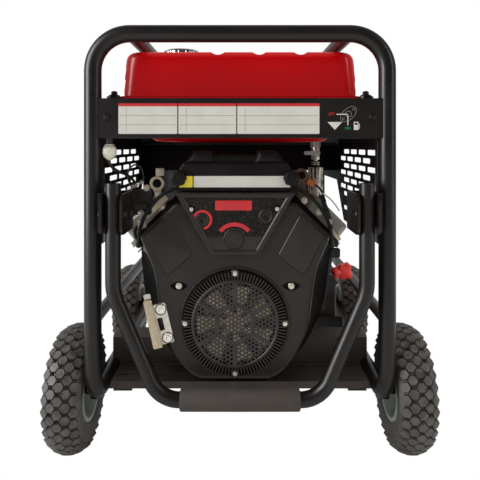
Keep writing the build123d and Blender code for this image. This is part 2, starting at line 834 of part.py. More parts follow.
# Fan guard: a pressed basket with slots round its cone and a field of round holes in its face
ring_front = housing_setback - 3
guard_front_face = ring_front - guard_rise
spoke_half = 3.5
hole_rows = int(guard_face_r / (guard_pitch * 0.866))
guard_holes = []
for row in range(-hole_rows, hole_rows + 1):
    for column in range(-hole_rows - 2, hole_rows + 3):
        hole_x = (column + (row % 2) / 2) * guard_pitch
        hole_z = row * guard_pitch * 0.866
        out = math.hypot(hole_x, hole_z)
        if 20 < out < guard_face_r - 8 and abs(hole_x) > spoke_half + guard_hole / 2:
            guard_holes.append((hole_x, hole_z))
with BuildPart() as fan_guard:
    with BuildSketch(Plane(origin=(crank_x, y_at(ring_front), crank_z), x_dir=(1, 0, 0), z_dir=(0, 0, 1))):
        with BuildLine():
            Polyline(
                (guard_face_r - 4, -guard_rise),
                (guard_face_r, -guard_rise),
                (fan_opening_r, -guard_sheet),
                (guard_r, -guard_sheet),
                (guard_r, 0),
                (fan_opening_r - guard_sheet, 0),
                (guard_face_r - guard_sheet, guard_sheet - guard_rise),
                (guard_face_r - 4, guard_sheet - guard_rise),
                close=True,
            )
        make_face()
    revolve(axis=Axis((crank_x, y_at(ring_front), crank_z), (0, 1, 0)))
    with BuildSketch(engine_plane(ring_front)):
        with PolarLocations((guard_face_r + fan_opening_r) / 2, guard_slots):
            Rectangle(fan_opening_r - guard_face_r - 3, 3.4)
    extrude(amount=guard_rise + 5, both=True, mode=Mode.SUBTRACT)
    with BuildSketch(engine_plane(guard_front_face)):
        Circle(guard_face_r - 3)
        with Locations(*guard_holes):
            RegularPolygon(guard_hole / 2 * 1.15, 6, mode=Mode.SUBTRACT)
    extrude(amount=-guard_sheet)
    for screw_x, screw_z in guard_screw_places:
        hole_from, hole_to = housing_setback - 9, housing_setback + 9
        rod_y(2.8, hole_from, hole_to, crank_x + screw_x, crank_z + screw_z, Mode.SUBTRACT)
save(fan_guard.part, "fan_guard")

# Flywheel fan on the crankshaft, with the alternator rotor at the shaft's far end
fan_back = crankcase_front - panel_gap
fan_disc = fan_back - 12
fan_front = guard_front_face + 24
with BuildPart() as flywheel_fan:
    rod_y(fan_r, fan_disc, fan_back, crank_x, crank_z)
    rod_y(crank_d / 2 + 14, fan_front + 4, fan_back, crank_x, crank_z)
    with Locations((crank_x, y_at((fan_front + fan_disc) / 2), crank_z)):
        for blade in range(16):
            with Locations(Location((0, 0, 0), (0, blade * 22.5, 0))):
                with Locations(Location((fan_r * 0.78, 0, 0), (0, 32, 0))):
                    Box(30, fan_disc - fan_front, 3.5)
    rod_y(crank_d / 2 + running_gap, fan_front, fan_back + 1, crank_x, crank_z, Mode.SUBTRACT)
save(flywheel_fan.part, "flywheel_fan")

rotor_front = crankcase_back + 60
rotor_back = stator_back - 30
with BuildPart() as crankshaft_rotor:
    rod_y(crank_d / 2, fan_front + 10, bell_back - 16, crank_x, crank_z)
    rod_y(rotor_r, rotor_front, rotor_back, crank_x, crank_z)
    with Locations((crank_x, y_at((rotor_front + rotor_back) / 2), crank_z)):
        for side in (-1, 1):
            with Locations((0, 0, side * rotor_r)):
                Box(rotor_r * 1.2, rotor_back - rotor_front + 1, rotor_r * 0.5, mode=Mode.SUBTRACT)
save(crankshaft_rotor.part, "crankshaft_rotor")

# Alternator: a stator barrel bolted to the crankcase, with a vented end bell on a foot
bell_wall = 6.0
with BuildPart() as alternator_housing:
    back_middle = (crank_x, y_at(crankcase_back), crank_z)
    with BuildSketch(Plane(origin=back_middle, x_dir=(1, 0, 0), z_dir=(0, 0, 1))):
        with BuildLine():
            Polyline(
                (shaft_hole + 30, 0),
                (crankcase_half - 42, 0),
                (stator_r, 40),
                (stator_r, stator_length),
                (bell_r, stator_length + 22),
                (bell_r, stator_length + bell_length - 12),
                (bell_r - 14, stator_length + bell_length),
                (shaft_hole, stator_length + bell_length),
                (shaft_hole, stator_length + bell_length - 20),
                (shaft_hole + 10, stator_length + bell_length - bell_wall),
                (bell_r - 18, stator_length + bell_length - bell_wall),
                (bell_r - bell_wall, stator_length + bell_length - 14),
                (bell_r - bell_wall, stator_length + 18),
                (stator_r - stator_wall, stator_length - 6),
                (stator_r - stator_wall, 46),
                (crankcase_half - 50, 8),
                (shaft_hole + 30, 8),
                close=True,
            )
        make_face()
    revolve(axis=Axis((crank_x, y_at(crankcase_back), crank_z), (0, 1, 0)))
    with BuildSketch(engine_plane(bell_back)):
        with PolarLocations((shaft_hole + bell_r) / 2 + 4, 12):
            RectangleRounded(34, 9, 4)
    extrude(amount=12, both=True, mode=Mode.SUBTRACT)
    for rib in range(2):
        rod_y(stator_r + 3, stator_back - 30 - rib * 180, stator_back - 16 - rib * 180, crank_x, crank_z)
        band_back = stator_back - 16 - rib * 180
        rod_y(stator_r - 5, band_back - 14, band_back, crank_x, crank_z, Mode.SUBTRACT)
    foot_half = crankcase_half
    foot_left, foot_right = crank_x - foot_half, crank_x + foot_half
    block(foot_left, foot_right, bell_foot - 22, bell_foot + 22, bell_foot_z, crank_z - bell_r + 6)
    block(crank_x - 34, crank_x + 34, bell_foot - 5, bell_foot + 5, bell_foot_z, crank_z - bell_r + 12)
    rod_y(bell_r - bell_wall, bell_foot - 30, bell_foot + 30, crank_x, crank_z, Mode.SUBTRACT)
save(alternator_housing.part, "alternator_housing")

# Fascia: an inverted trapezoid with a raised rim, on the front of the blower housing
fascia_top = (116, 253)
fascia_bottom = (48.5, 137)
fascia_front = housing_setback - fascia_thickness
fascia_screws = ((-88, 228), (85, 229))
with BuildPart() as front_fascia:
    with BuildSketch(engine_plane(housing_setback)):
        with BuildLine():
            top_middle, low_middle = (0, fascia_top[1]), (0, fascia_bottom[1])
            FilletPolyline(top_middle, fascia_top, fascia_bottom, low_middle, radius=[10, 12])
            mirror(about=Plane.YZ)
        make_face()
    extrude(amount=fascia_thickness, taper=8)
    rim_edge = 5.0
    with BuildSketch(engine_plane(fascia_front)):
        with BuildLine():
            top_middle, low_middle = (0, fascia_top[1]), (0, fascia_bottom[1])
            FilletPolyline(top_middle, fascia_top, fascia_bottom, low_middle, radius=[10, 12])
            mirror(about=Plane.YZ)
        make_face()
        offset(amount=-rim_edge, mode=Mode.REPLACE)
    extrude(amount=-3, mode=Mode.SUBTRACT)
    rod_y(22, fascia_front, fascia_front + 5, crank_x - 1, crank_z + 167, Mode.SUBTRACT)
    rod_y(18, fascia_front + 1, fascia_front + 5, crank_x - 1, crank_z + 167)
    rod_y(12.5, fascia_front, fascia_front + 4, crank_x + 63, crank_z + 213)
    for hole_x, hole_z in ((-66, 207), (63, 213)):
        rod_y(6, fascia_front - 1, fascia_front + 7, crank_x + hole_x, crank_z + hole_z, Mode.SUBTRACT)
    for screw_x, screw_z in fascia_screws:
        rod_y(2.8, fascia_front - 1, housing_setback + 1, crank_x + screw_x, crank_z + screw_z, Mode.SUBTRACT)
save(front_fascia.part, "front_fascia")

# Air-cleaner cover: a moulded hood over the carburettor, held by two hand knobs on studs
cleaner_half = knob_half_spacing + 10
cleaner_wall = 3.0
stud_hole = stud_d / 2 + running_gap


def cleaner_profile(inset):
    with BuildLine() as outline:
        FilletPolyline(
            (0, cleaner_bottom),
            (cleaner_half - 11 - inset, cleaner_bottom),
            (cleaner_half - inset, knob_rise - 8),
            (cleaner_half - 6 - inset, 307 - inset / 2),
            (83 - inset, cleaner_top - inset),
            (0, cleaner_top - inset),
            radius=[2, 8, 8, 12],
        )
        mirror(about=Plane.YZ)
    make_face(outline.edges())


with BuildPart() as air_cleaner_cover:
    with BuildSketch(engine_plane(housing_setback)):
        cleaner_profile(0)
    extrude(amount=-cleaner_depth)
    front_edges = air_cleaner_cover.faces().sort_by(Axis.Y)[0].edges()
    chamfer(front_edges, 2)
    with BuildSketch(engine_plane(housing_setback + cleaner_wall)):
        cleaner_profile(cleaner_wall)
    extrude(amount=-(cleaner_depth - 2 * cleaner_wall), mode=Mode.SUBTRACT)
    with BuildSketch(engine_plane(housing_setback)):
        with BuildLine():
            Polyline((-47, cleaner_top + 1), (47, cleaner_top + 1), (36, 323), (-36, 323), close=True)
        make_face()
    extrude(amount=-1.5, mode=Mode.SUBTRACT)
    for side in (-1, 1):
        rod_y(
            stud_hole,
            housing_setback - 5,
            housing_setback + 15,
            crank_x + side * knob_half_spacing,
            crank_z + knob_rise,
            Mode.SUBTRACT,
        )
save(air_cleaner_cover.part, "air_cleaner_cover")

for side, side_name in ((-1, "left"), (1, "right")):
    knob_x = crank_x + side * knob_half_spacing
    knob_z = crank_z + knob_rise
    with BuildPart() as cover_knob:
        rod_y(knob_d / 2, housing_setback - knob_length, housing_setback - bolt_gap, knob_x, knob_z)
        fillet(cover_knob.edges().group_by(Axis.Y)[0], 3)
        with Locations((knob_x, y_at(housing_setback - knob_length / 2), knob_z)):
            for lobe in range(8):
                turn = math.radians(45 * lobe)
                reach = knob_d / 2 + 2.2
                with Locations((reach * math.cos(turn), 0, reach * math.sin(turn))):
                    Cylinder(4, knob_length + 2, rotation=(90, 0, 0), mode=Mode.SUBTRACT)
        rod_y(stud_d / 2, housing_setback - 6, housing_setback + 26, knob_x, knob_z)
    save(cover_knob.part, side_name + "_cover_knob")

# Carburettor: a base plate under the air cleaner, a body in the V and a runner to each head
carb_front = cylinder_front + 16
carb_back = cylinder_front + 96
with BuildPart() as carburettor:
    block(
        crank_x - cleaner_half + 12,
        crank_x + cleaner_half - 12,
        crankcase_front + panel_gap,
        housing_setback + cleaner_depth,
        crank_z + cleaner_bottom - 6,
        crank_z + cleaner_bottom,
    )
    block(crank_x - 42, crank_x + 42, carb_front, carb_back, crank_z + 160, crank_z + cleaner_bottom - 6)
    rod_x(20, crank_x - 150, crank_x + 150, y_at((carb_front + carb_back) / 2), crank_z + 196)
    for side in (-1, 1):
        with BuildSketch(cylinder_plane(side, deck_radius, cylinder_middle)):
            Rectangle(fin_size, fin_size)
        extrude(amount=2 * cylinder_reach, mode=Mode.SUBTRACT)
save(carburettor.part, "carburettor")

# Muffler: a rounded box above the alternator on two legs, with a pipe from each head
muffler_front = stator_back - 150
muffler_depth = 170.0
muffler_height = 130.0
muffler_z = crank_z + stator_r + 97
muffler_left = -185.0
muffler_right = 195.0
pipe_r = 18.0
port_reach = 225 * lean
port_back = cylinder_middle + fin_size / 2
with BuildPart() as muffler:
    with BuildSketch(Plane.YZ.offset(muffler_left)):
        with Locations((y_at(muffler_front + muffler_depth / 2), muffler_z)):
            RectangleRounded(muffler_depth, muffler_height, 50)
    extrude(amount=muffler_right - muffler_left)
    curved_edges = muffler.edges().filter_by(GeomType.LINE, reverse=True)
    fillet(curved_edges + muffler.faces().sort_by(Axis.X)[0].edges(), 6)
    for side in (-1, 1):
        head_x = crank_x + side * port_reach
        head_z = crank_z + port_reach
        swept_tube(
            [
                (head_x, y_at(port_back), head_z),
                (head_x, y_at(port_back + 80), head_z),
                (crank_x + side * 115, y_at(muffler_front - 40), muffler_z),
                (crank_x + side * 115, y_at(muffler_front + 20), muffler_z),
            ],
            [40, 40],
            pipe_r,
        )
        block(
            crank_x + side * 45 - 15,
            crank_x + side * 45 + 15,
            muffler_front + 60,
            muffler_front + 100,
            crank_z + stator_r - 30,
            muffler_z - muffler_height / 2 + 4,
        )
    muffler_back = muffler_front + muffler_depth
    rod_y(15, muffler_back - 10, muffler_back + 40, muffler_right - 60, muffler_z)
    rod_y(12, muffler_back, muffler_back + 41, muffler_right - 60, muffler_z, Mode.SUBTRACT)
    rod_y(stator_r, crankcase_back, stator_back, crank_x, crank_z, Mode.SUBTRACT)
save(muffler.part, "muffler")

# Heat shield: a sheet in front of the silencer, lugged to the tank rails on each side
shield_setback = muffler_front - 20
shield_depth = 76.0
shield_lug = 40.0
shield_low = pan_bottom - shield_depth
shield_side = rail_out - apron_sheet
with BuildPart() as heat_shield:
    shield_back = shield_setback + sheet
    block(-shield_side, shield_side, shield_setback, shield_back, shield_low, pan_bottom - panel_gap)
    for side in (-1, 1):
        inner, outer = side * (shield_side - sheet), side * shield_side
        lug_front, lug_top = shield_setback - shield_lug, rail_web_low + shield_lug
        block(inner, outer, lug_front, shield_back, shield_low, lug_top)
save(heat_shield.part, "heat_shield")

# Starter motor beside the crankcase, with its solenoid and a terminal stud
starter_x = crank_x + crankcase_half + 35
starter_z = crank_z - 22
solenoid_x = 195.0
solenoid_z = crank_z + 48
stud_setback = 250.0
with BuildPart() as starter_motor:
    rod_y(32, cylinder_front, cylinder_front + 130, starter_x, starter_z)
    rod_y(26, cylinder_front + 130, cylinder_front + 142, starter_x, starter_z)
    lug_left, lug_back = crank_x + crankcase_half, cylinder_front + 12
    block(lug_left, starter_x, cylinder_front, lug_back, starter_z - 15, starter_z + 15)
    block(starter_x + 5, solenoid_x, cylinder_front + 62, cylinder_front + 76, starter_z + 5, solenoid_z)
    rod_y(21, cylinder_front + 45, stud_setback + 12, solenoid_x, solenoid_z)
    rod_x(5, solenoid_x, solenoid_x + 38, y_at(stud_setback), solenoid_z + 4)
save(starter_motor.part, "starter_motor")

boot_left = solenoid_x + 26
with BuildPart() as terminal_boot:
    rod_x(12, boot_left, boot_left + 20, y_at(stud_setback), solenoid_z + 4)
    boot_front, boot_back = stud_setback - 14, stud_setback + 14
    block(boot_left + 16, boot_left + 50, boot_front, boot_back, solenoid_z - 11, solenoid_z + 19)
    fillet(terminal_boot.edges().filter_by(Axis.X), 5)
    rod_x(5 + running_gap, boot_left - 1, solenoid_x + 39, y_at(stud_setback), solenoid_z + 4, Mode.SUBTRACT)
save(terminal_boot.part, "terminal_boot")

# Battery on a lipped shelf that is welded to the right lower rail
shelf_left = 118.0
shelf_length = 200.0
shelf_top = rail_z + tube_r + 1
shelf_low = shelf_top - sheet
with BuildPart() as battery_shelf:
    shelf_back = shelf_setback + shelf_length
    lip_top = shelf_low + shelf_lip
    block(shelf_left, leg_x, shelf_setback, shelf_back, shelf_low, shelf_top)
    for lip_from in (shelf_setback, shelf_back - sheet):
        block(shelf_left, leg_x - tube_r, lip_from, lip_from + sheet, shelf_low, lip_top)
    block(shelf_left, shelf_left + sheet, shelf_setback, shelf_back, shelf_low, lip_top)
    cut_lower_rails()
save(battery_shelf.part, "battery_shelf")

battery_width = 130.0
battery_height = 145.0
battery_margin = 8.0
battery_left = shelf_left + sheet + battery_margin
battery_front = shelf_setback + sheet + battery_margin
battery_right = battery_left + battery_width
battery_back = shelf_setback + shelf_length - sheet - battery_margin
battery_top = shelf_top + battery_height
with BuildPart() as battery:
    block(battery_left, battery_right, battery_front, battery_back, shelf_top, battery_top)
    fillet(battery.edges().filter_by(Axis.Z), 6)
    bead_left, bead_right = battery_left - 2, battery_right + 2
    block(bead_left, bead_right, battery_front - 2, battery_back + 2, battery_top - 34, battery_top - 26)
    for post_setback in (battery_front + 26, battery_back - 26):
        rod_z(8, battery_top, battery_top + 14, battery_right - 26, y_at(post_setback))
save(battery.part, "battery")

# Oil filter on the left of the crankcase
filter_x = crank_x - crankcase_half
with BuildPart() as oil_filter:
    rod_x(33, filter_x - 62, filter_x - 4, y_at(cylinder_front + 35), engine_base + 21)
    fillet(oil_filter.edges().group_by(Axis.X)[0], 8)
    rod_x(24, filter_x - 4, filter_x, y_at(cylinder_front + 35), engine_base + 21)
save(oil_filter.part, "oil_filter")

# Engine brackets: two lift eyes held between the housing and the heads, and a slotted zinc plate
eye_thickness = panel_gap
left_eye = (-169, 275, 16)
right_eye = (142, 293, 15)
bracket_plate = 4.0
with BuildPart() as engine_brackets:
    for side, (ring_x, ring_z, ring_r) in ((-1, left_eye), (1, right_eye)):
        with BuildSketch(engine_plane(cylinder_front)):
            with BuildLine():
                Polyline(
                    (ring_x - 9, ring_z),
                    (ring_x + 9, ring_z),
                    (side * 150 + 12, 192),
                    (side * 150 - 12, 192),
                    close=True,
                )
            make_face()
            with Locations((ring_x, ring_z)):
                Circle(ring_r)
                Circle(ring_r * 0.6, mode=Mode.SUBTRACT)
        extrude(amount=eye_thickness)
    (upper_x, upper_z), (lower_x, lower_z) = lug_places
    lug_middle = ((upper_x + lower_x) / 2, (upper_z + lower_z) / 2)
    lug_lean = math.degrees(math.atan2(lower_x - upper_x, upper_z - lower_z))
    with BuildSketch(engine_plane(housing_setback)):
        with Locations(Location((lug_middle[0], lug_middle[1], 0), (0, 0, lug_lean))):
            with Locations((-6, 0)):
                RectangleRounded(40, 97, 4)
            SlotOverall(22, 8, rotation=90, mode=Mode.SUBTRACT)
        for lug_x, lug_z in lug_places:
            with Locations((lug_x, lug_z)):
                Circle(4.3, mode=Mode.SUBTRACT)
    extrude(amount=bracket_plate)
save(engine_brackets.part, "engine_brackets")

# Screws on the front of the engine
with BuildPart() as housing_screws:
    for screw_x, screw_z in guard_screw_places:
        seat = ring_front - guard_sheet
        rod_y(5.5, seat - 3.5, seat, crank_x + screw_x, crank_z + screw_z)
        rod_y(2.5, seat, housing_setback + 6, crank_x + screw_x, crank_z + screw_z)
    for side in (-1, 1):
        rod_y(7, housing_setback - 4, housing_setback, crank_x + side * eye_x, crank_z + eye_z)
        rod_y(3.7, housing_setback, housing_setback + 18, crank_x + side * eye_x, crank_z + eye_z)
    for screw_x, screw_z in fascia_screws:
        rod_y(4.5, fascia_front, fascia_front + 3, crank_x + screw_x, crank_z + screw_z)
        rod_y(2.5, fascia_front, housing_setback, crank_x + screw_x, crank_z + screw_z)
    for lug_x, lug_z in lug_places:
        seat = housing_setback - bracket_plate
        rod_y(8.5, seat - 6, seat, crank_x + lug_x, crank_z + lug_z)
        rod_y(4, seat, housing_setback + 18, crank_x + lug_x, crank_z + lug_z)
save(housing_screws.part, "housing_screws")

# Speed-control box on the front of the left head
box_left = -243.0
box_right = -189.0
box_low = crank_z + 208
box_high = crank_z + 263
box_middle = (box_left + box_right) / 2 - 8
with BuildPart() as control_box:
    block(box_left, box_right, cylinder_front - 13, cylinder_front, box_low, box_high)
    fillet(control_box.edges().filter_by(Axis.Y), 7)
save(control_box.part, "control_box")

# Plug leads from the air cleaner's sides to the heads, and a lead from a clipped connector to the control box
lead_r = 4.0
boot_r = 8.0
plug_x = 205.0
plug_z = 146.0
connector_x = -(leg_x - tube_r - 15)
connector_setback = 0.0
connector_low = apron_bottom - 43
connector_top = apron_bottom - 12
cover_side = cleaner_half - 7
with BuildPart() as wiring_leads:
    for side in (-1, 1):
        swept_tube(
            [
                (crank_x + side * cover_side, y_at(82), crank_z + 268),
                (crank_x + side * (cover_side + 34), y_at(80), crank_z + 262),
                (crank_x + side * 196, y_at(72), crank_z + 206),
                (crank_x + side * plug_x, y_at(66), crank_z + plug_z),
                (crank_x + side * plug_x, y_at(cylinder_front - 20), crank_z + plug_z),
            ],
            [14, 30, 15],
            lead_r,
        )
        rod_y(boot_r, cylinder_front - 24, cylinder_front, crank_x + side * plug_x, crank_z + plug_z)
    swept_tube(
        [
            (connector_x, y_at(connector_setback), connector_low),
            (connector_x, y_at(connector_setback), connector_low - 16),
            (box_middle, y_at(cylinder_front - 7), box_high + 24),
            (box_middle, y_at(cylinder_front - 7), box_high),
        ],
        [12, 12],
        lead_r - 1,
    )
    add(air_cleaner_cover.part, mode=Mode.SUBTRACT)
save(wiring_leads.part, "wiring_leads")

with BuildPart() as lead_connector:
    for half, low, high in ((11, connector_low, connector_top), (7, connector_top, apron_bottom)):
        near, far = connector_setback - half + 3, connector_setback + half - 3
        block(connector_x - half, connector_x + half, near, far, low, high)
    fillet(lead_connector.edges().filter_by(Axis.Z), 2)
save(lead_connector.part, "lead_connector")

# Fuel valve under the pan, its lever in front, and a sleeved hose to the carburettor
valve_x = 184.0
valve_setback = 255.0
valve_y = y_at(valve_setback)
valve_lever_z = pan_bottom - 26
valve_outlet_z = pan_bottom - 58
with BuildPart() as fuel_valve:
    with BuildSketch(Plane.XY.offset(pan_bottom)):
        with Locations((valve_x, valve_y)):
            RegularPolygon(13, 6)
    extrude(amount=-12)
    rod_z(10, pan_bottom - 42, pan_bottom - 12, valve_x, valve_y)
    rod_y(8, valve_setback - 18, valve_setback, valve_x, valve_lever_z)
    rod_z(5, valve_outlet_z, pan_bottom - 42, valve_x, valve_y)
    rod_y(2.5, valve_setback - 30, valve_setback - 18, valve_x, valve_lever_z)
save(fuel_valve.part, "fuel_valve")

with BuildPart() as fuel_valve_lever:
    with BuildSketch(facing_front(valve_setback - 19)):
        with Locations((valve_x, valve_lever_z)):
            Circle(8)
        with Locations((valve_x - 15, valve_lever_z)):
            RectangleRounded(30, 9, 3)
        with Locations((valve_x, valve_lever_z)):
            Circle(2.5 + running_gap, mode=Mode.SUBTRACT)
    extrude(amount=5)
save(fuel_valve_lever.part, "fuel_valve_lever")

hose_r = 8.0
sleeve_r = 17.0
hose_low = crank_z + 196
with BuildPart() as fuel_hose:
    swept_tube(
        [
            (valve_x, valve_y, valve_outlet_z + 12),
            (valve_x, valve_y, hose_low),
            (crank_x + 20, valve_y, hose_low),
            (crank_x + 20, y_at(carb_back), hose_low),
        ],
        [30, 25],
        hose_r,
    )
    rod_z(sleeve_r, hose_low + 32, valve_outlet_z - 4, valve_x, valve_y)
    rod_z(5 + running_gap, valve_outlet_z - 0.5, valve_outlet_z + 13, valve_x, valve_y, Mode.SUBTRACT)
save(fuel_hose.part, "fuel_hose")

# Control panel: a box on the left, behind the guard, with sockets, a start switch and a main breaker
panel_back = frame_length - guard_front
panel_top = apron_bottom + guard_top_lap
panel_low = apron_bottom - guard_low
panel_face = -(rail_out + guard_sheet_t)
box_depth = 52.0
switch_setback = panel_front + 70
switch_z = panel_low + 150
breaker_setback = panel_front + 70
breaker_z = panel_low + 66
breaker_half_y = 9.0
breaker_half_z = 20.0
with BuildPart() as control_panel:
    block(panel_face, -rail_out, panel_front, panel_back, panel_low, panel_top)
    fillet(control_panel.edges().filter_by(Axis.X).group_by(Axis.Z)[0], 10)
    box_front, box_back = panel_front + 14, panel_back - 14
    block(-rail_out, box_depth - rail_out, box_front, box_back, panel_low + 10, apron_bottom - 3)
    rod_x(4 + running_gap, panel_face - 1, panel_face + 20, y_at(switch_setback), switch_z, Mode.SUBTRACT)
    block(
        panel_face - 1,
        panel_face + 24,
        breaker_setback - breaker_half_y,
        breaker_setback + breaker_half_y,
        breaker_z - breaker_half_z,
        breaker_z + breaker_half_z,
        Mode.SUBTRACT,
    )
save(control_panel.part, "control_panel")

with BuildPart() as start_switch:
    rod_x(15, panel_face - 14, panel_face - bolt_gap, y_at(switch_setback), switch_z)
    fillet(start_switch.edges().group_by(Axis.X)[0], 2)
    bow_front, bow_back = switch_setback - 3, switch_setback + 3
    block(panel_face - 20, panel_face - 12, bow_front, bow_back, switch_z - 13, switch_z + 13)
    rod_x(4, panel_face - 1, panel_face + 18, y_at(switch_setback), switch_z)
save(start_switch.part, "start_switch")

breaker_x = panel_face + 10
with BuildPart() as main_breaker:
    rod_y(7, breaker_setback - breaker_half_y + 1, breaker_setback + breaker_half_y - 1, breaker_x, breaker_z)
    with BuildSketch(Plane(origin=(breaker_x, y_at(breaker_setback), breaker_z), z_dir=(-0.94, 0, -0.342))):
        RectangleRounded(10, 14, 3)
    extrude(amount=24)
save(main_breaker.part, "main_breaker")

socket_face = panel_face - 4
with BuildPart() as sockets:
    for socket_z in (panel_low + 70, panel_low + 145):
        with BuildSketch(Plane.YZ.offset(panel_face)):
            for socket_setback in (panel_front + 290, panel_front + 350):
                with Locations((y_at(socket_setback), socket_z)):
                    RectangleRounded(40, 62, 8)
        extrude(amount=-4)
        rod_x(29, socket_face - 4, panel_face, y_at(panel_front + 180), socket_z)
        rod_x(22, socket_face - 5, socket_face, y_at(panel_front + 180), socket_z, Mode.SUBTRACT)
save(sockets.part, "sockets")

# Fasteners of the frame: handle pivots, tank bolts, apron bolts and axle nuts
with BuildPart() as frame_bolts:
    for side in (-1, 1):
        rod_x(9, side * (bracket_in - 7), side * bracket_in, pivot_y, handle_pivot_height)
        bolt_from, bolt_to = side * (bracket_in - 1), side * (bracket_out + 7)
        rod_x(pivot_bolt_d / 2, bolt_from, bolt_to, pivot_y, handle_pivot_height)
        rod_x(8, side * bracket_out, side * (bracket_out + 6), pivot_y, handle_pivot_height)
        for bolt_setback in tank_bolt_setbacks:
            bolt_y = y_at(bolt_setback)
            rod_z(12, tank_base_z, tank_base_z + 3, side * tank_bolt_x, bolt_y)
            rod_z(7, tank_base_z + 3, tank_base_z + 11, side * tank_bolt_x, bolt_y)
            rod_z(tank_bolt_d / 2, deck_z - 12, tank_base_z + 3, side * tank_bolt_x, bolt_y)
            rod_z(7, deck_z - apron_sheet - 7, deck_z - apron_sheet, side * tank_bolt_x, bolt_y)
        for outward, face in ((-1, -apron_front), (1, frame_length + apron_front)):
            inner = face - outward * 2 * apron_sheet
            rod_y(8, face, face + outward * apron_bolt_head, side * apron_bolt_x, apron_bolt_z)
            rod_y(tank_bolt_d / 2, inner - outward * 8, face, side * apron_bolt_x, apron_bolt_z)
            rod_y(7, inner - outward * 7, inner, side * apron_bolt_x, apron_bolt_z)
        for axle_y in (front_axle_y, rear_axle_y):
            nut_in = wheel_x + hub_half + bolt_gap
            rod_x(15, side * nut_in, side * (nut_in + 9), axle_y, axle_z)
            nut_r, nut_to = axle_d / 2 + running_gap, side * (wheel_x + hub_half + 6.1)
            rod_x(nut_r, side * nut_in, nut_to, axle_y, axle_z, Mode.SUBTRACT)
save(frame_bolts.part, "frame_bolts")
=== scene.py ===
import json
import math

import bmesh
import bpy
from mathutils import Matrix, Vector

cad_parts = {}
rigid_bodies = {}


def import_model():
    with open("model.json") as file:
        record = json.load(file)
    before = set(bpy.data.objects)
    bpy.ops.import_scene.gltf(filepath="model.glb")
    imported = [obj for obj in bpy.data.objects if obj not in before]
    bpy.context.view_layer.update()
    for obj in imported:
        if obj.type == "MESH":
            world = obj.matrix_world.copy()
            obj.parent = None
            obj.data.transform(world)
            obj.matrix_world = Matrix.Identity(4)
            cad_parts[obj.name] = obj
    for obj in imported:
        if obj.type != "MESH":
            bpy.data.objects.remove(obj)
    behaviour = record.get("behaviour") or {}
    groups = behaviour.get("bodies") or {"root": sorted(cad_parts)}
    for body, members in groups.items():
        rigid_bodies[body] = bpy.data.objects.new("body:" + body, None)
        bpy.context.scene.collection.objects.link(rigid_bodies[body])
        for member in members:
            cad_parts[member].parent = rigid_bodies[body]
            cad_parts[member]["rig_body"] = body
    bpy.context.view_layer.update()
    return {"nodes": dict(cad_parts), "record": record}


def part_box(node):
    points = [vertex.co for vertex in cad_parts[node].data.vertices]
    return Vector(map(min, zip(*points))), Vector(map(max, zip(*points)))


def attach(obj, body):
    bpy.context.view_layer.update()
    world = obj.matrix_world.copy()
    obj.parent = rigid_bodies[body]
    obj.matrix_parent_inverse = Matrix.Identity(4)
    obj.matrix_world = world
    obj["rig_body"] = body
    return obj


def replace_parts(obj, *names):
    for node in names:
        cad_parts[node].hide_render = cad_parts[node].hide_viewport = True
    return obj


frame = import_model()
nodes = frame["nodes"]
print("frame loaded:", len(nodes), "nodes")

# lengths below are millimetres in the part's own frame, scaled once when a mesh is made
frontY = -435.0  # plane of the front hoop
crank = {"x": -10.0, "z": 286.0}
weldGap = 0.000005  # metres


def atSetback(u):
    return frontY + u


def onFrame(x, z, u):
    return (x, atSetback(u), z)


def onEngine(x, z, u):
    return onFrame(crank["x"] + x, crank["z"] + z, u)


def alongFrame(points):
    return [onFrame(*point) for point in points]


def metres(points):
    return [(x / 1000, y / 1000, z / 1000) for x, y, z in points]


def turns(count):
    return [2 * math.pi * k / count for k in range(count)]


def leaned(a, b, lean):
    c, s = math.cos(lean), math.sin(lean)
    return a * c - b * s, a * s + b * c


def polar(radius, angle):
    return radius * math.cos(angle), radius * math.sin(angle)


def mirrored(corners, side):
    return corners if side > 0 else [(-x, z) for x, z in reversed(corners)]


def hexColour(text):
    channels = [int(text[i:i + 2], 16) / 255 for i in (0, 2, 4)]
    linear = [c / 12.92 if c <= 0.04045 else ((c + 0.055) / 1.055) ** 2.4 for c in channels]
    return (*linear, 1.0)


def addNode(tree, kind, values=None, **settings):
    # an input takes a value, a socket, a node for its first output, or a list of these where it joins
    made = tree.nodes.new(kind)
    for key, value in settings.items():
        setattr(made, key, value)
    for key, value in (values or {}).items():
        for item in value if isinstance(value, list) else [value]:
            if isinstance(item, bpy.types.Node):
                item = item.outputs[0]
            if isinstance(item, bpy.types.NodeSocket):
                tree.links.new(item, made.inputs[key])
            else:
                made.inputs[key].default_value = item
    return made


def feedShader(tree, sources):
    for key, made in sources.items():
        tree.links.new(made.outputs[0], tree.nodes["Principled BSDF"].inputs[key])


def setStops(ramp, *stops):
    for element, (position, colour) in zip(ramp.color_ramp.elements, stops):
        element.position, element.color = position, hexColour(colour)


def newMaterial(name):
    material = bpy.data.materials.new(name)
    material.use_nodes = True
    return material, material.node_tree, material.node_tree.nodes["Principled BSDF"]


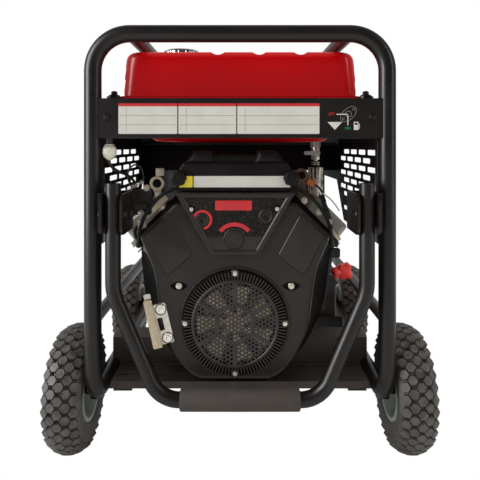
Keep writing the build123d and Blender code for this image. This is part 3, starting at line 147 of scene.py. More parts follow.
def makeSurface(name, base, patch, patchMm, rough, roughFar, grainMm, grainDepthMm, **shaderValues):
    # two close colours in soft patches, roughness that wanders with them, and a fine relief
    material, tree, shader = newMaterial(name)
    place = addNode(tree, "ShaderNodeTexCoord").outputs["Object"]
    patches = addNode(tree, "ShaderNodeTexNoise", {"Vector": place, "Scale": 1000 / patchMm, "Detail": 4.0})
    tint = addNode(tree, "ShaderNodeValToRGB", {"Fac": patches})
    setStops(tint, (0.35, base), (0.68, patch))
    gloss = addNode(tree, "ShaderNodeMapRange", {"Value": patches, "From Min": 0.3, "From Max": 0.7,
                                                 "To Min": rough, "To Max": roughFar})
    grain = addNode(tree, "ShaderNodeTexNoise", {"Vector": place, "Scale": 1000 / grainMm, "Detail": 3.0})
    relief = addNode(tree, "ShaderNodeBump", {"Height": grain, "Strength": 0.6, "Distance": grainDepthMm / 1000})
    feedShader(tree, {"Base Color": tint, "Roughness": gloss, "Normal": relief})
    for key, value in shaderValues.items():
        shader.inputs[key.replace("_", " ")].default_value = value
    return material


# powder coat on tube and sheet: black with a faint warm cast, an even sheen and a fine orange peel
powderCoat = makeSurface("powderCoatBlack", "14110e", "1a1512", 60, 0.33, 0.4, 1.6, 0.03, Specular_IOR_Level=0.34)
# folded sheet under the same coat, duller and a touch coarser
sheetCoat = makeSurface("sheetCoatBlack", "13100e", "191412", 60, 0.6, 0.72, 1.4, 0.05, Specular_IOR_Level=0.07)
# the same coat made paler and greyer on the low beams: painted light standing for the light on their front faces
litBeamCoat = makeSurface("paintedLightPowderCoat", "3a322d", "463d37", 45, 0.5, 0.62, 1.6, 0.04, Specular_IOR_Level=0.3)
# stove enamel on pressed steel: deep red under a wet clear gloss, nearly flat
tankEnamel = makeSurface("redStoveEnamel", "c80007", "bc0006", 180, 0.3, 0.36, 9, 0.03, Specular_IOR_Level=0.12,
                         Coat_Weight=0.18, Coat_Roughness=0.08)
# carbon-filled rubber: charcoal, dusty on its patches, pored
tyreRubber = makeSurface("carbonTyreRubber", "39342f", "5c554e", 14, 0.46, 0.7, 1.1, 0.22)
# moulded rubber of mounts, leads and hoses: softer black, low sheen
plainRubber = makeSurface("mouldedRubber", "171616", "201f1f", 20, 0.5, 0.68, 0.9, 0.08)
# wheel paint: pale grey with a green cast, slightly dusty
rimPaint = makeSurface("greyWheelPaint", "a9b1a9", "98a199", 30, 0.36, 0.5, 1.4, 0.04, Metallic=0.15)
# glass-filled nylon moulding: near black, spark-eroded grain that scatters light
mouldedNylon = makeSurface("sparkErodedNylon", "29231f", "2f2823", 70, 0.36, 0.46, 0.8, 0.06, Specular_IOR_Level=0.3)
# cover of the air cleaner: the same nylon, finer and darker
coverNylon = makeSurface("coverNylon", "171413", "1c1917", 70, 0.42, 0.52, 0.8, 0.05, Specular_IOR_Level=0.12)
# coarse moulded field of the front panel: dark with pale pin points
speckledNylon = makeSurface("speckledNylon", "120f0c", "1b1612", 40, 0.55, 0.66, 1.5, 0.3, Specular_IOR_Level=0.14)
# side walls of the moulding, drawn smoother than its grained face and painted darker: painted shade on the side walls
flankShadeNylon = makeSurface("flankShadeNylon", "0e0b0a", "120f0d", 60, 0.62, 0.72, 0.8, 0.03, Specular_IOR_Level=0.04)
# sunk places in the mouldings: the same nylon where no light falls
shadedNylon = makeSurface("shadedNylon", "050505", "080707", 40, 0.5, 0.62, 0.8, 0.05, Specular_IOR_Level=0.08)
# bright zinc on mild steel: pale and faintly warm, with cloudy patches
zincPlate = makeSurface("brightZincPlate", "dbd5c7", "cfc8b9", 12, 0.26, 0.36, 1.2, 0.03, Metallic=0.5)
# black oxide on screws: dark, oily, slightly brown
blackOxide = makeSurface("blackOxideSteel", "22201e", "2e2b28", 8, 0.3, 0.44, 1.0, 0.03, Metallic=0.6)
# sand-cast aluminium: soft grey, pebbled skin
castAlloy = makeSurface("sandCastAluminium", "a8a196", "9c958a", 60, 0.42, 0.56, 1.8, 0.12, Metallic=0.4)
# fan casting behind its guard: pale alloy under tan dust
dustedAlloy = makeSurface("dustedAlloy", "d2c2a4", "a59479", 18, 0.5, 0.66, 1.6, 0.1, Metallic=0.1)
# chromed pressing of the filler cap: bright with faint smears
capChrome = makeSurface("chromedPressing", "d8d8d6", "c2c2c0", 16, 0.08, 0.18, 3.0, 0.01, Metallic=1.0)
# aluminised steel of the silencer: dull, darkened and browned by heat
heatedSteel = makeSurface("aluminisedSteel", "57514a", "433d36", 70, 0.42, 0.58, 1.6, 0.05, Metallic=0.5)
# soft vinyl boot: saturated red, waxy
redVinyl = makeSurface("softRedVinyl", "ff4036", "f5352b", 12, 0.38, 0.5, 1.0, 0.06, Subsurface_Weight=0.05)
# nylon of wiring plugs: ivory and slightly see-through, or a solid orange
ivoryNylon = makeSurface("ivoryNylon", "d9d3c0", "cdc6b0", 8, 0.36, 0.48, 0.9, 0.04, Subsurface_Weight=0.08)
orangeNylon = makeSurface("orangeNylon", "c9671f", "b4561a", 8, 0.38, 0.5, 0.9, 0.04)
# printed vinyl and ink: matt film, even colour with a little grain
filmWhite = makeSurface("paleVinylFilm", "d2cfc5", "cac7bd", 40, 0.42, 0.5, 0.7, 0.01)
filmRed = makeSurface("redVinylFilm", "cf1a22", "bf151d", 30, 0.36, 0.44, 0.7, 0.01)
filmYellow = makeSurface("yellowVinylFilm", "e8cf1f", "dcc31a", 30, 0.4, 0.46, 0.7, 0.01)
filmGrey = makeSurface("greyInk", "8f8e8a", "84837f", 20, 0.5, 0.6, 0.7, 0.01)
filmGreen = makeSurface("greenInk", "1d9a46", "188a3e", 20, 0.5, 0.6, 0.7, 0.01)
# steel of the right lifting eye painted darker and browner than the left eye: painted shade for the shadow it sits in
shadedEyeSteel = makeSurface("shadedEyeSteel", "6b5542", "57432f", 10, 0.4, 0.52, 1.2, 0.03, Metallic=0.4)
# nickelled brass of the fuel valve, faintly warm, its colour pushed near white: partly the bright nickel, partly
# painted light on a valve that sits in shade
nickelPaintedLight = makeSurface("nickelledBrassPaintedLight", "fbf6ec", "ece5d8", 7, 0.12, 0.2, 1.2, 0.02, Metallic=0.45)
# yellow-passivated zinc of folded brackets: warm tan with cloudy bands
passivatedZinc = makeSurface("passivatedZinc", "ddcdb2", "c9b798", 10, 0.36, 0.5, 1.2, 0.03, Metallic=0.4)
# perforated face of the fan guard: the same nylon, dusted by the air it draws
dustedNylon = makeSurface("dustedNylon", "231e1a", "2b2520", 30, 0.4, 0.52, 0.8, 0.07)
# socket faces: mid grey nylon, plain and matt
greyNylon = makeSurface("greySocketNylon", "4a4b4d", "424345", 30, 0.45, 0.55, 0.8, 0.03)
# tinted window of a meter: dark gloss
tintedWindow = makeSurface("tintedAcrylic", "0c0f10", "101415", 30, 0.08, 0.12, 4, 0.005, Coat_Weight=0.5)

# closed-cell foam of the handle's sleeve: brown-black skin with open pores, no shine
foamSkin = makeSurface("closedCellFoam", "3a312b", "433a33", 18, 0.78, 0.9, 1.0, 0.1)
foamTree = foamSkin.node_tree
place = addNode(foamTree, "ShaderNodeTexCoord").outputs["Object"]
pores = addNode(foamTree, "ShaderNodeTexVoronoi", {"Vector": place, "Scale": 1000 / 1.8})
relief = addNode(foamTree, "ShaderNodeBump", {"Height": pores, "Strength": 0.7, "Distance": 0.0004})
feedShader(foamTree, {"Normal": relief})

# aluminised glass sleeve: bright foil drawn into long creases, with painted shade dark in their folds
creasedFoil = makeSurface("crumpledFoil", "efe6d6", "cfc3ae", 7, 0.24, 0.4, 2.0, 0.1, Metallic=0.5)
foilTree = creasedFoil.node_tree
place = addNode(foilTree, "ShaderNodeTexCoord").outputs["Object"]
stretched = addNode(foilTree, "ShaderNodeVectorMath", {0: place, 1: (1, 1, 0.12)}, operation="MULTIPLY")
creases = addNode(foilTree, "ShaderNodeTexNoise", {"Vector": stretched, "Scale": 1000 / 5.0, "Detail": 0.0})
relief = addNode(foilTree, "ShaderNodeBump", {"Height": creases, "Strength": 0.8, "Distance": 0.0012})
# the crease noise paints the folds dark: painted shade
shade = addNode(foilTree, "ShaderNodeValToRGB", {"Fac": creases})
setStops(shade, (0.4, "54473a"), (0.5, "f6eede"))
feedShader(foilTree, {"Normal": relief, "Base Color": shade})

# pin points of pale grain on the front panel's dark field, coarse enough to show
fieldTree = speckledNylon.node_tree
fieldBase = fieldTree.nodes["Principled BSDF"].inputs["Base Color"]
place = addNode(fieldTree, "ShaderNodeTexCoord").outputs["Object"]
grain = addNode(fieldTree, "ShaderNodeTexNoise", {"Vector": place, "Scale": 1000 / 1.7, "Detail": 1.0})
pinPoints = addNode(fieldTree, "ShaderNodeMapRange", {"Value": grain, "From Min": 0.62, "From Max": 0.72,
                                                      "To Min": 0.0, "To Max": 0.75})
speckle = addNode(fieldTree, "ShaderNodeMix", {"Factor": pinPoints, "A": fieldBase.links[0].from_socket,
                                               "B": hexColour("6a5e50")}, data_type="RGBA")
fieldTree.links.new(speckle.outputs["Result"], fieldBase)
print("materials made:", len(bpy.data.materials))


form = {"verts": [], "faces": [], "kinds": []}  # grows by addForm until a mesh is made of it


def addForm(part, kind=0):
    verts, faces = part
    start = len(form["verts"])
    form["verts"] += verts
    form["faces"] += [tuple(start + i for i in face) for face in faces]
    form["kinds"] += [kind] * len(faces)


def formMesh(name, *materials):
    mesh = bpy.data.meshes.new(name)
    mesh.from_pydata(metres(form["verts"]), [], form["faces"])
    for polygon, kind in zip(mesh.polygons, form["kinds"]):
        polygon.material_index = kind
    for rows in form.values():
        rows.clear()
    work = bmesh.new()
    work.from_mesh(mesh)
    bmesh.ops.remove_doubles(work, verts=work.verts, dist=weldGap)
    bmesh.ops.recalc_face_normals(work, faces=work.faces)
    work.to_mesh(mesh)
    work.free()
    for material in materials:
        mesh.materials.append(material)
    return mesh


def joinMeshes(name, meshes):
    # one mesh from several, keeping each one's materials
    work = bmesh.new()
    slots = []
    for mesh in meshes:
        first = len(work.faces)
        work.from_mesh(mesh)
        work.faces.ensure_lookup_table()
        for face in work.faces[first:]:
            material = mesh.materials[face.material_index]
            if material not in slots:
                slots.append(material)
            face.material_index = slots.index(material)
    result = bpy.data.meshes.new(name)
    work.to_mesh(result)
    work.free()
    for material in slots:
        result.materials.append(material)
    return result


def addObject(name, data):
    made = bpy.data.objects.new(name, data)
    bpy.context.scene.collection.objects.link(made)
    return made


def takeMesh(made):
    # an object's evaluated shape as a plain mesh; the object itself goes
    mesh = bpy.data.meshes.new_from_object(made.evaluated_get(bpy.context.evaluated_depsgraph_get()))
    bpy.data.objects.remove(made)
    return mesh


def dressed(mesh, material):
    mesh.materials.clear()
    mesh.materials.append(material)
    return mesh


def finishPiece(name, mesh, slot, hides=(), angle=34, body="frame"):
    # smooth except on real edges; rides its body and stands for the nodes it hides
    for polygon in mesh.polygons:
        polygon.use_smooth = True
    mesh.set_sharp_from_angle(angle=math.radians(angle))
    piece = addObject(name, mesh)
    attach(piece, body)
    if hides:
        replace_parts(piece, *hides)
    return piece


def finishForm(name, materials, *rest):
    return finishPiece(name, formMesh(name, *materials), *rest)


def finishParts(name, meshes, *rest):
    return finishPiece(name, joinMeshes(name, meshes), *rest)


def loft(rings):
    count = len(rings[0])
    verts = [point for ring in rings for point in ring]
    faces = []
    for k in range(len(rings) - 1):
        for i in range(count):
            j = (i + 1) % count
            faces.append((k * count + i, k * count + j, (k + 1) * count + j, (k + 1) * count + i))
    faces.append(tuple(reversed(range(count))))
    faces.append(tuple((len(rings) - 1) * count + i for i in range(count)))
    return verts, faces


def closedLoft(rings):
    # rings joined round into a hollow band, the last to the first
    verts, faces = loft(rings)
    count, last = len(rings[0]), (len(rings) - 1) * len(rings[0])
    return verts, faces[:-2] + [(last + i, last + (i + 1) % count, (i + 1) % count, i) for i in range(count)]


def lathe(profile, centre, axis, segments, flute=0, fluteDepth=0.0):
    # turns a closed outline of (radius, along) about an axis; flutes ripple its outermost points
    reach = max(r for r, along in profile)
    verts, faces = [], []
    for turn in turns(segments):
        for r, along in profile:
            if flute and r > reach - 2.5:
                r += fluteDepth * math.cos(flute * turn)
            a, b = centre[0] + r * math.cos(turn), centre[1] + r * math.sin(turn)
            verts.append({"x": (along, a, b), "y": (a, along, b), "z": (a, b, along)}[axis])
    count = len(profile)
    for i in range(segments):
        j = (i + 1) % segments
        for k in range(count):
            m = (k + 1) % count
            faces.append((i * count + k, j * count + k, j * count + m, i * count + m))
    return verts, faces


def turned(profile, x, z, segments, *flute):
    # a lathed shape on the engine's front, its profile in (radius, setback)
    return lathe([(r, atSetback(u)) for r, u in profile], (crank["x"] + x, crank["z"] + z), "y", segments, *flute)


def acrossMiddle(half):
    # a half profile and its mirror image, sharing their middle point
    return half + [(r, -x) for r, x in reversed(half[:-1])]


def rectangle(x0, x1, z0, z1):
    return [(x0, z0), (x1, z0), (x1, z1), (x0, z1)]


def barCorners(x0, z0, x1, z1, half):
    length = math.hypot(x1 - x0, z1 - z0)
    nx, nz = (z1 - z0) / length * half, -(x1 - x0) / length * half
    return [(x0 + nx, z0 + nz), (x1 + nx, z1 + nz), (x1 - nx, z1 - nz), (x0 - nx, z0 - nz)]


def roundedPolygon(corners, radii, inset=0.0, steps=6):
    # outline of a convex polygon, counter-clockwise, drawn in by inset and rounded by one radius or one for each corner
    lines = []
    for i, (ax, ay) in enumerate(corners):
        bx, by = corners[(i + 1) % len(corners)]
        length = math.hypot(bx - ax, by - ay)
        nx, ny = -(by - ay) / length, (bx - ax) / length
        lines.append((nx, ny, nx * ax + ny * ay + inset))
    points = []
    for i in range(len(corners)):
        (ax, ay, ac), (bx, by, bc) = lines[i - 1], lines[i]
        cross = ax * by - ay * bx
        radius = max((radii[i] if isinstance(radii, list) else radii) - inset, 0.4)
        ox = ((ac + radius) * by - (bc + radius) * ay) / cross
        oy = (ax * (bc + radius) - bx * (ac + radius)) / cross
        first = math.atan2(-ay, -ax)
        sweep = (math.atan2(-by, -bx) - first) % (2 * math.pi)
        for k in range(steps + 1):
            turn = first + sweep * k / steps
            points.append((ox + radius * math.cos(turn), oy + radius * math.sin(turn)))
    return points


def frontPlate(corners, radii, uBack, uFront, edge, place=onEngine, steps=3):
    # a plate that faces the front, with a rounded front edge
    rings = [[place(x, z, uBack) for x, z in roundedPolygon(corners, radii)]]
    for k in range(steps + 1):
        turn = math.pi / 2 * k / steps
        inset, u = edge * (1 - math.cos(turn)), uFront + edge * (1 - math.sin(turn))
        rings.append([place(x, z, u) for x, z in roundedPolygon(corners, radii, inset)])
    return loft(rings)


def roundedBox(x0, x1, u0, u1, z0, z1, edge):
    # a block with rounded edges front and back
    eased = [(1 - math.sin(turn), 1 - math.cos(turn)) for turn in (math.pi / 2 * k / 3 for k in range(4))]
    steps = [(edge * s, u1 - edge * c) for s, c in eased] + [(edge * c, u0 + edge * s) for s, c in eased]
    corners = rectangle(x0, x1, z0, z1)
    return loft([[onFrame(x, z, u) for x, z in roundedPolygon(corners, edge * 1.5, inset, 3)] for inset, u in steps])


def leanBar(x0, z0, x1, z1, half, u0, u1):
    return frontPlate(barCorners(x0, z0, x1, z1, half), 1.2, u1, u0, 0.6, onFrame, 2)


def smoothLine(name, points, radius):
    # a round lead on one smooth line drawn by its route
    curve = bpy.data.curves.new(name, "CURVE")
    curve.dimensions = "3D"
    curve.bevel_depth = radius / 1000
    curve.bevel_resolution = 3
    curve.use_fill_caps = True
    line = curve.splines.new("NURBS")
    line.points.add(len(points) - 1)
    for point, place in zip(line.points, metres(points)):
        point.co = (*place, 1)
    line.order_u = 3
    line.use_endpoint_u = True
    line.resolution_u = 8
    return curve


def wire(name, points, radius, material):
    return dressed(takeMesh(addObject(name, smoothLine(name, points, radius))), material)


def newTree(name, inputs):
    tree = bpy.data.node_groups.new(name, "GeometryNodeTree")
    tree.interface.new_socket(name="Geometry", in_out="INPUT", socket_type="NodeSocketGeometry")
    for title, kind in inputs.items():
        tree.interface.new_socket(name=title, in_out="INPUT", socket_type="NodeSocket" + kind)
    tree.interface.new_socket(name="Geometry", in_out="OUTPUT", socket_type="NodeSocketGeometry")
    return tree, addNode(tree, "NodeGroupInput").outputs


def endTree(tree, last, material):
    real = addNode(tree, "GeometryNodeRealizeInstances", {"Geometry": last})
    painted = addNode(tree, "GeometryNodeSetMaterial", {"Geometry": real, "Material": material})
    addNode(tree, "NodeGroupOutput", {"Geometry": painted})
    return tree


def ringTurn(tree, count):
    # the step between neighbours on a ring, and each one's own turn
    step = addNode(tree, "ShaderNodeMath", {0: 2 * math.pi, 1: count}, operation="DIVIDE")
    index = addNode(tree, "GeometryNodeInputIndex")
    return step, addNode(tree, "ShaderNodeMath", {0: index, 1: step}, operation="MULTIPLY")


def seedMesh(name, points):
    mesh = bpy.data.meshes.new(name)
    mesh.from_pydata(metres(points), [], [])
    return mesh


def runTree(name, mesh, tree, values):
    seed = addObject(name, mesh)
    modifier = seed.modifiers.new("tree", "NODES")
    modifier.node_group = tree
    for item in tree.interface.items_tree:
        if item.in_out == "INPUT" and item.name in values:
            modifier[item.identifier] = values[item.name]
    return takeMesh(seed)


def makeBoltTree():
    # a hex or round head, dished on top, on a flange at each point, standing along the point's aim
    tree, given = newTree("boltHeads", {"Head Sides": "Int", "Head Radius": "Float", "Head Height": "Float",
                                        "Flange Radius": "Float", "Flange Height": "Float", "Material": "Material"})
    shares = {}
    for key, name, share in (("flangeTop", "Flange Radius", 0.86), ("headTop", "Head Radius", 0.88),
                             ("dish", "Head Radius", 0.6), ("dishTop", "Head Radius", 0.42),
                             ("dishHeight", "Head Height", 0.16)):
        shares[key] = addNode(tree, "ShaderNodeMath", {0: given[name], 1: share}, operation="MULTIPLY")
    high = addNode(tree, "ShaderNodeMath", {0: given["Flange Height"], 1: given["Head Height"]}, operation="ADD")
    parts = []
    for sides, bottom, top, depth, lift in (
            (28, given["Flange Radius"], shares["flangeTop"], given["Flange Height"], 0.0),
            (given["Head Sides"], given["Head Radius"], shares["headTop"], given["Head Height"],
             given["Flange Height"]),
            (20, shares["dish"], shares["dishTop"], shares["dishHeight"], high)):
        cone = addNode(tree, "GeometryNodeMeshCone", {"Vertices": sides, "Radius Bottom": bottom, "Radius Top": top,
                                                      "Depth": depth})
        raised = addNode(tree, "ShaderNodeCombineXYZ", {"Z": lift})
        parts.append(addNode(tree, "GeometryNodeTransform", {"Geometry": cone, "Translation": raised}))
    bolt = addNode(tree, "GeometryNodeJoinGeometry", {0: parts})
    aim = addNode(tree, "GeometryNodeInputNamedAttribute", {"Name": "aim"}, data_type="FLOAT_VECTOR")
    facing = addNode(tree, "FunctionNodeAlignRotationToVector", {"Vector": aim}, axis="Z")
    spread = addNode(tree, "GeometryNodeInstanceOnPoints", {"Points": given["Geometry"], "Instance": bolt,
                                                            "Rotation": facing})
    return endTree(tree, spread, given["Material"])


boltTree = makeBoltTree()


def boltMesh(name, places, aims, sides, radius, height, flangeRadius, flangeHeight, material):
    # aims: one direction for all the places, or a list
    mesh = seedMesh(name, places)
    aim = mesh.attributes.new("aim", "FLOAT_VECTOR", "POINT")
    for item, direction in zip(aim.data, aims if isinstance(aims, list) else [aims] * len(places)):
        item.vector = direction
    return runTree(name, mesh, boltTree, {
        "Head Sides": sides, "Head Radius": radius / 1000, "Head Height": height / 1000,
        "Flange Radius": flangeRadius / 1000, "Flange Height": flangeHeight / 1000, "Material": material})


slotOf = {part["node"]: part["material_slot"] for part in frame["record"]["subparts"]}


def smoothNode(node, material, angle=30, reshape=None):
    # the node's own shape with its facets merged and shaded as the curve it is
    mesh = dressed(nodes[node].data.copy(), material)
    work = bmesh.new()
    work.from_mesh(mesh)
    bmesh.ops.remove_doubles(work, verts=work.verts, dist=weldGap)
    for face in work.faces:
        face.material_index = 0
    for vert in work.verts if reshape else ():
        vert.co = reshape(vert.co * 1000) / 1000
    work.to_mesh(mesh)
    work.free()
    for layer in ("custom_normal", "sharp_edge", "sharp_face"):
        if layer in mesh.attributes:
            mesh.attributes.remove(mesh.attributes[layer])
    return finishPiece(node + "Skin", mesh, slotOf[node], [node], angle, nodes[node]["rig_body"])


print("makers ready")

# frame, rails, castings and sheet keep their built shape, apart from the tank's shell
tank = {"flange": 743.0, "half": 228.0, "wider": 10.0, "top": 833.0, "taller": 5.4, "ear": 243.0,
        "swellFrom": 165, "swellOver": 55}


def fullTank(point):
    # the shell's crown a little wider and taller above its flange
    if point.z < tank["flange"] - 1 or abs(point.x) > tank["half"] + 4:
        return point
    near = min(max((abs(point.x) - tank["swellFrom"]) / tank["swellOver"], 0), 1)
    rise = min((point.z - tank["flange"]) / (tank["top"] - tank["flange"]), 1)
    out = math.copysign(tank["wider"] * near * near * (3 - 2 * near), point.x)
    return Vector((point.x + out, point.y, point.z + tank["taller"] * max(rise, 0)))


for material, names in (
        (powderCoat, ("handle_brackets", "front_apron", "rear_apron", "tank_rails", "battery_shelf")),
        (sheetCoat, ("heat_shield", "left_side_guard", "right_side_guard", "control_panel")),
        (litBeamCoat, ("front_crossbar", "risers"))):
    for name in names:
        dressed(nodes[name].data, material)
for name in ("front_hoop", "rear_hoop", "top_rails", "side_rails", "stub_axles", "handle_tube"):
    smoothNode(name, powderCoat)
for piece in (smoothNode("tank_shell", tankEnamel, 40, fullTank), smoothNode("tank_pan", tankEnamel, 40)):
    piece.data.materials.append(blackOxide)
    for polygon in piece.data.polygons:
        if abs(polygon.center.x) * 1000 > tank["ear"]:
            polygon.material_index = 1
for material, names in (
        (castAlloy, ("crankcase", "cylinders", "valve_covers", "carburettor", "alternator_housing")),
        (plainRubber, ("rubber_mounts",)),
        (mouldedNylon, ("starter_motor", "oil_filter", "battery", "control_box", "start_switch", "main_breaker")),
        (dustedAlloy, ("flywheel_fan",)), (heatedSteel, ("muffler",)), (castAlloy, ("crankshaft_rotor",)),
        (nickelPaintedLight, ("fuel_valve", "fuel_valve_lever"))):
    for name in names:
        smoothNode(name, material)
print("frame and castings dressed")

# tyre: a crowned carcass under staggered rows of knobs, each row as (across, lean, stagger)
tyre = {"radius": 129, "crownDrop": 20, "half": 37, "blocks": 32, "blockRadius": 11.2, "blockHeight": 8, "inset": 9,
        "rows": [(-24.5, -0.55, 0), (-12.6, -0.28, 1), (0, 0, 0), (12.6, 0.28, 1), (24.5, 0.55, 0)]}


def makeTreadTree():
    # hexagonal knobs round the carcass, the outer rows leaning with its shoulders
    tree, given = newTree("treadBlocks", {"Blocks": "Int", "Radius": "Float", "Block Radius": "Float",
                                          "Block Height": "Float", "Material": "Material"})
    step, turn = ringTurn(tree, given["Blocks"])
    top = addNode(tree, "ShaderNodeMath", {0: given["Block Radius"], 1: 0.84}, operation="MULTIPLY")
    knob = addNode(tree, "GeometryNodeMeshCone", {"Vertices": 6, "Radius Bottom": given["Block Radius"],
                                                  "Radius Top": top, "Depth": given["Block Height"]})
    rows = []
    for across, tilt, stagger in tyre["rows"]:
        sunk = tyre["blockHeight"] + tyre["crownDrop"] * (across / tyre["half"]) ** 2
        inner = addNode(tree, "ShaderNodeMath", {0: given["Radius"], 1: sunk / 1000}, operation="SUBTRACT")
        ring = addNode(tree, "GeometryNodeMeshCircle", {"Vertices": given["Blocks"], "Radius": inner})
        facing = addNode(tree, "ShaderNodeCombineXYZ", {"Y": math.pi / 2 - tilt, "Z": turn})
        row = addNode(tree, "GeometryNodeInstanceOnPoints", {"Points": ring, "Instance": knob, "Rotation": facing})
        half = addNode(tree, "ShaderNodeMath", {0: step, 1: 0.5 * stagger}, operation="MULTIPLY")
        rolled = addNode(tree, "ShaderNodeCombineXYZ", {"Z": half})
        rows.append(addNode(tree, "GeometryNodeTransform", {"Geometry": row, "Rotation": rolled,
                                                            "Translation": (0, 0, across / 1000)}))
    return endTree(tree, addNode(tree, "GeometryNodeJoinGeometry", {0: rows}), given["Material"])


def tyreProfile():
    # bead, bulged wall with two moulded rings, shoulder and crown, then the hollow inside
    wall = [(63, 29.5), (69, 30), (72, 33), (76, 34.6), (78, 35.8), (81, 36), (84, 36.6), (92, 37), (98, 36.8),
            (101, 37.2), (103, 36), (107, 33)]
    crown = [(121.6 - tyre["crownDrop"] * (x / tyre["half"]) ** 2, x) for x in (29, 22, 14, 7, 0)]
    return acrossMiddle(wall + crown) + acrossMiddle([(63, -24), (72, -29), (92, -33), (104, -29), (113, 0)])


tread = runTree("treadSeed", seedMesh("treadSeed", []), makeTreadTree(), {
    "Blocks": tyre["blocks"], "Radius": tyre["radius"] / 1000, "Block Radius": tyre["blockRadius"] / 1000,
    "Block Height": tyre["blockHeight"] / 1000, "Material": tyreRubber})
tread.transform(Matrix(((0, 0, 1, 0), (1, 0, 0, 0), (0, 1, 0, 0), (0, 0, 0, 1))))  # axle along X
addForm(lathe(tyreProfile(), (0, 0), "x", 96))
tyreMesh = joinMeshes("tyreMesh", [formMesh("carcass", tyreRubber), tread])
tyreMesh.transform(Matrix.Translation((-tyre["inset"] / 1000, 0, 0)))

# rim: a pressed dish between two flanges on a turned hub, with a valve stem and four clamp bolts
rim = {"bolts": 38, "firstBolt": 0.6, "stem": 44, "profile": [
    (63, -39), (68, -39), (69, -40.5), (68, -42), (61, -42), (59, -38), (56.5, -18), (55, -4), (52, -1), (46, 4),
    (36, 2), (28, -6), (20, -8), (19, -29), (10.1, -29), (10.1, 29), (19, 29), (20, 2), (29, 3), (38, 9), (48, 10),
    (53, 6), (57, 12), (59, 20.5), (61, 24), (68, 24), (69, 22.5), (68, 21), (63, 21), (60.5, 12), (60.5, -12)]}
addForm(lathe(rim["profile"], (0, 0), "x", 80))
addForm(lathe([(0, 9), (4.2, 9), (4.2, 20), (3, 21), (3, 27), (0, 27)], (0, rim["stem"]), "x", 16))
ringOf = [polar(rim["bolts"], a + rim["firstBolt"]) for a in turns(4)]
rimMesh = joinMeshes("rimMesh", [
    formMesh("rimShell", rimPaint),
    boltMesh("rimNuts", [(6, a, b) for a, b in ringOf], (1, 0, 0), 6, 6.2, 5, 8.5, 1.6, zincPlate),
    boltMesh("rimHeads", [(-1, a, b) for a, b in ringOf], (-1, 0, 0), 20, 6.0, 3.6, 8.0, 1.2, zincPlate)])

wheels = {"x": 358.0, "z": 129.0, "y": {"front": -345.0, "rear": 240.0}}
for end, y in wheels["y"].items():
    for side, name in ((-1, "left"), (1, "right")):
        place = Matrix.Translation((side * wheels["x"] / 1000, y / 1000, wheels["z"] / 1000))
        place = place @ Matrix.Rotation(0 if side > 0 else math.pi, 4, "Z")
        stem = end + "_" + name + "_"
        for kind, shape, slot in (("tyre", tyreMesh, "tyre_rubber"), ("rim", rimMesh, "rim_paint")):
            mesh = shape.copy()
            mesh.transform(place)
            finishPiece(end + name.capitalize() + kind.capitalize(), mesh, slot, [stem + kind], 38, stem + "wheel")
print("wheels made")

# blower housing: a wide back rim drawn in to a narrower rounded face, with raised wing panels, lens-shaped eyes and a
# collar round the air inlet
housing = {"rim": [(74, -127), (102, -117), (142, -77), (175, -22), (192, 35), (200, 100), (203, 174), (127, 252)],
           "face": [(72, -118), (96, -104), (121, -76), (150, -20), (156, 35), (166, 104), (195, 171), (122, 241)],
           "ease": [8, 10, 14, 20, 25, 20, 8, 8], "back": 100, "front": 30, "edge": 12, "roll": 0.7, "wall": 3,
           "inlet": 88, "wing": [(86, 135.5), (140, 88), (183, 176), (133, 222)],
           "collar": [(104, 60), (112, 60), (112.5, 30), (111.5, 27.6), (109.5, 26.6), (107, 27), (104, 29)]}
eye = {"x": 114, "z": 72, "halfX": 20, "halfZ": 9.5}


def softOutline(half, ease, inset):
    # both sides of a half outline, each corner eased over its reach whether it bows in or out
    corners = [Vector(point) for point in half + [(-x, z) for x, z in reversed(half)]]
    steps = [k / 6 for k in range(7)]
    points = []
    for i, (corner, reach) in enumerate(zip(corners, ease + ease[::-1])):
        start = corner + (corners[i - 1] - corner).normalized() * reach
        end = corner + (corners[(i + 1) % len(corners)] - corner).normalized() * reach
        points += [start.lerp(corner, k).lerp(corner.lerp(end, k), k) for k in steps]
    drawn = []
    for i, point in enumerate(points):
        along = (points[(i + 1) % len(points)] - points[i - 1]).normalized()
        drawn.append((point.x - along.y * inset, point.y + along.x * inset))
    return drawn


def housingRing(outline, inset, u):
    return [onEngine(x, z, u) for x, z in softOutline(housing[outline], housing["ease"], inset)]


def eyeRing(side, scale, u):
    return [onEngine(side * eye["x"] + scale * eye["halfX"] * math.cos(a),
                     eye["z"] + scale * eye["halfZ"] * math.sin(a) * abs(math.sin(a)) ** 0.8, u) for a in turns(28)]


back, front, edge, wall = (housing[key] for key in ("back", "front", "edge", "wall"))
rings = [housingRing("rim", 0, back), housingRing("rim", 0.6, back - 9), housingRing("rim", 2.4, back - 10),
         housingRing("face", 0, front + edge)]
for k in range(1, 6):
    turn = math.pi / 2 * k / 5
    inset, u = edge * (1 - math.cos(turn)) * housing["roll"], front + edge - edge * math.sin(turn)
    rings.append(housingRing("face", inset, u))
angles = [math.atan2(z - crank["z"], x - crank["x"]) for x, y, z in rings[-1]]
for u in (front, front + wall):
    rings.append([onEngine(*polar(housing["inlet"], a), u) for a in angles])
rings += [housingRing("face", edge * housing["roll"] + wall, front + wall), housingRing("face", wall, front + edge),
          housingRing("rim", wall, back)]
addForm(closedLoft(rings))
# the housing's side walls, its first four bands of faces, take the darker nylon: painted shade
flank = 4 * len(rings[0])
form["kinds"][:flank] = [2] * flank
addForm(turned(housing["collar"], 0, 0, 96))
for side in (-1, 1):
    addForm(frontPlate(mirrored(housing["wing"], side), [7, 14, 10, 9], 31, 26.2, 4.6))
    addForm(closedLoft([eyeRing(side, k, u) for k, u in ((1, 31), (0.97, 29), (0.9, 28.8), (0.86, 31))]))
    addForm(loft([eyeRing(side, 0.9, u) for u in (31, 29.6)]), 1)
finishForm("blowerHousing", [mouldedNylon, shadedNylon, flankShadeNylon], "housing_plastic", ["blower_housing"], 36)
print("housing made")

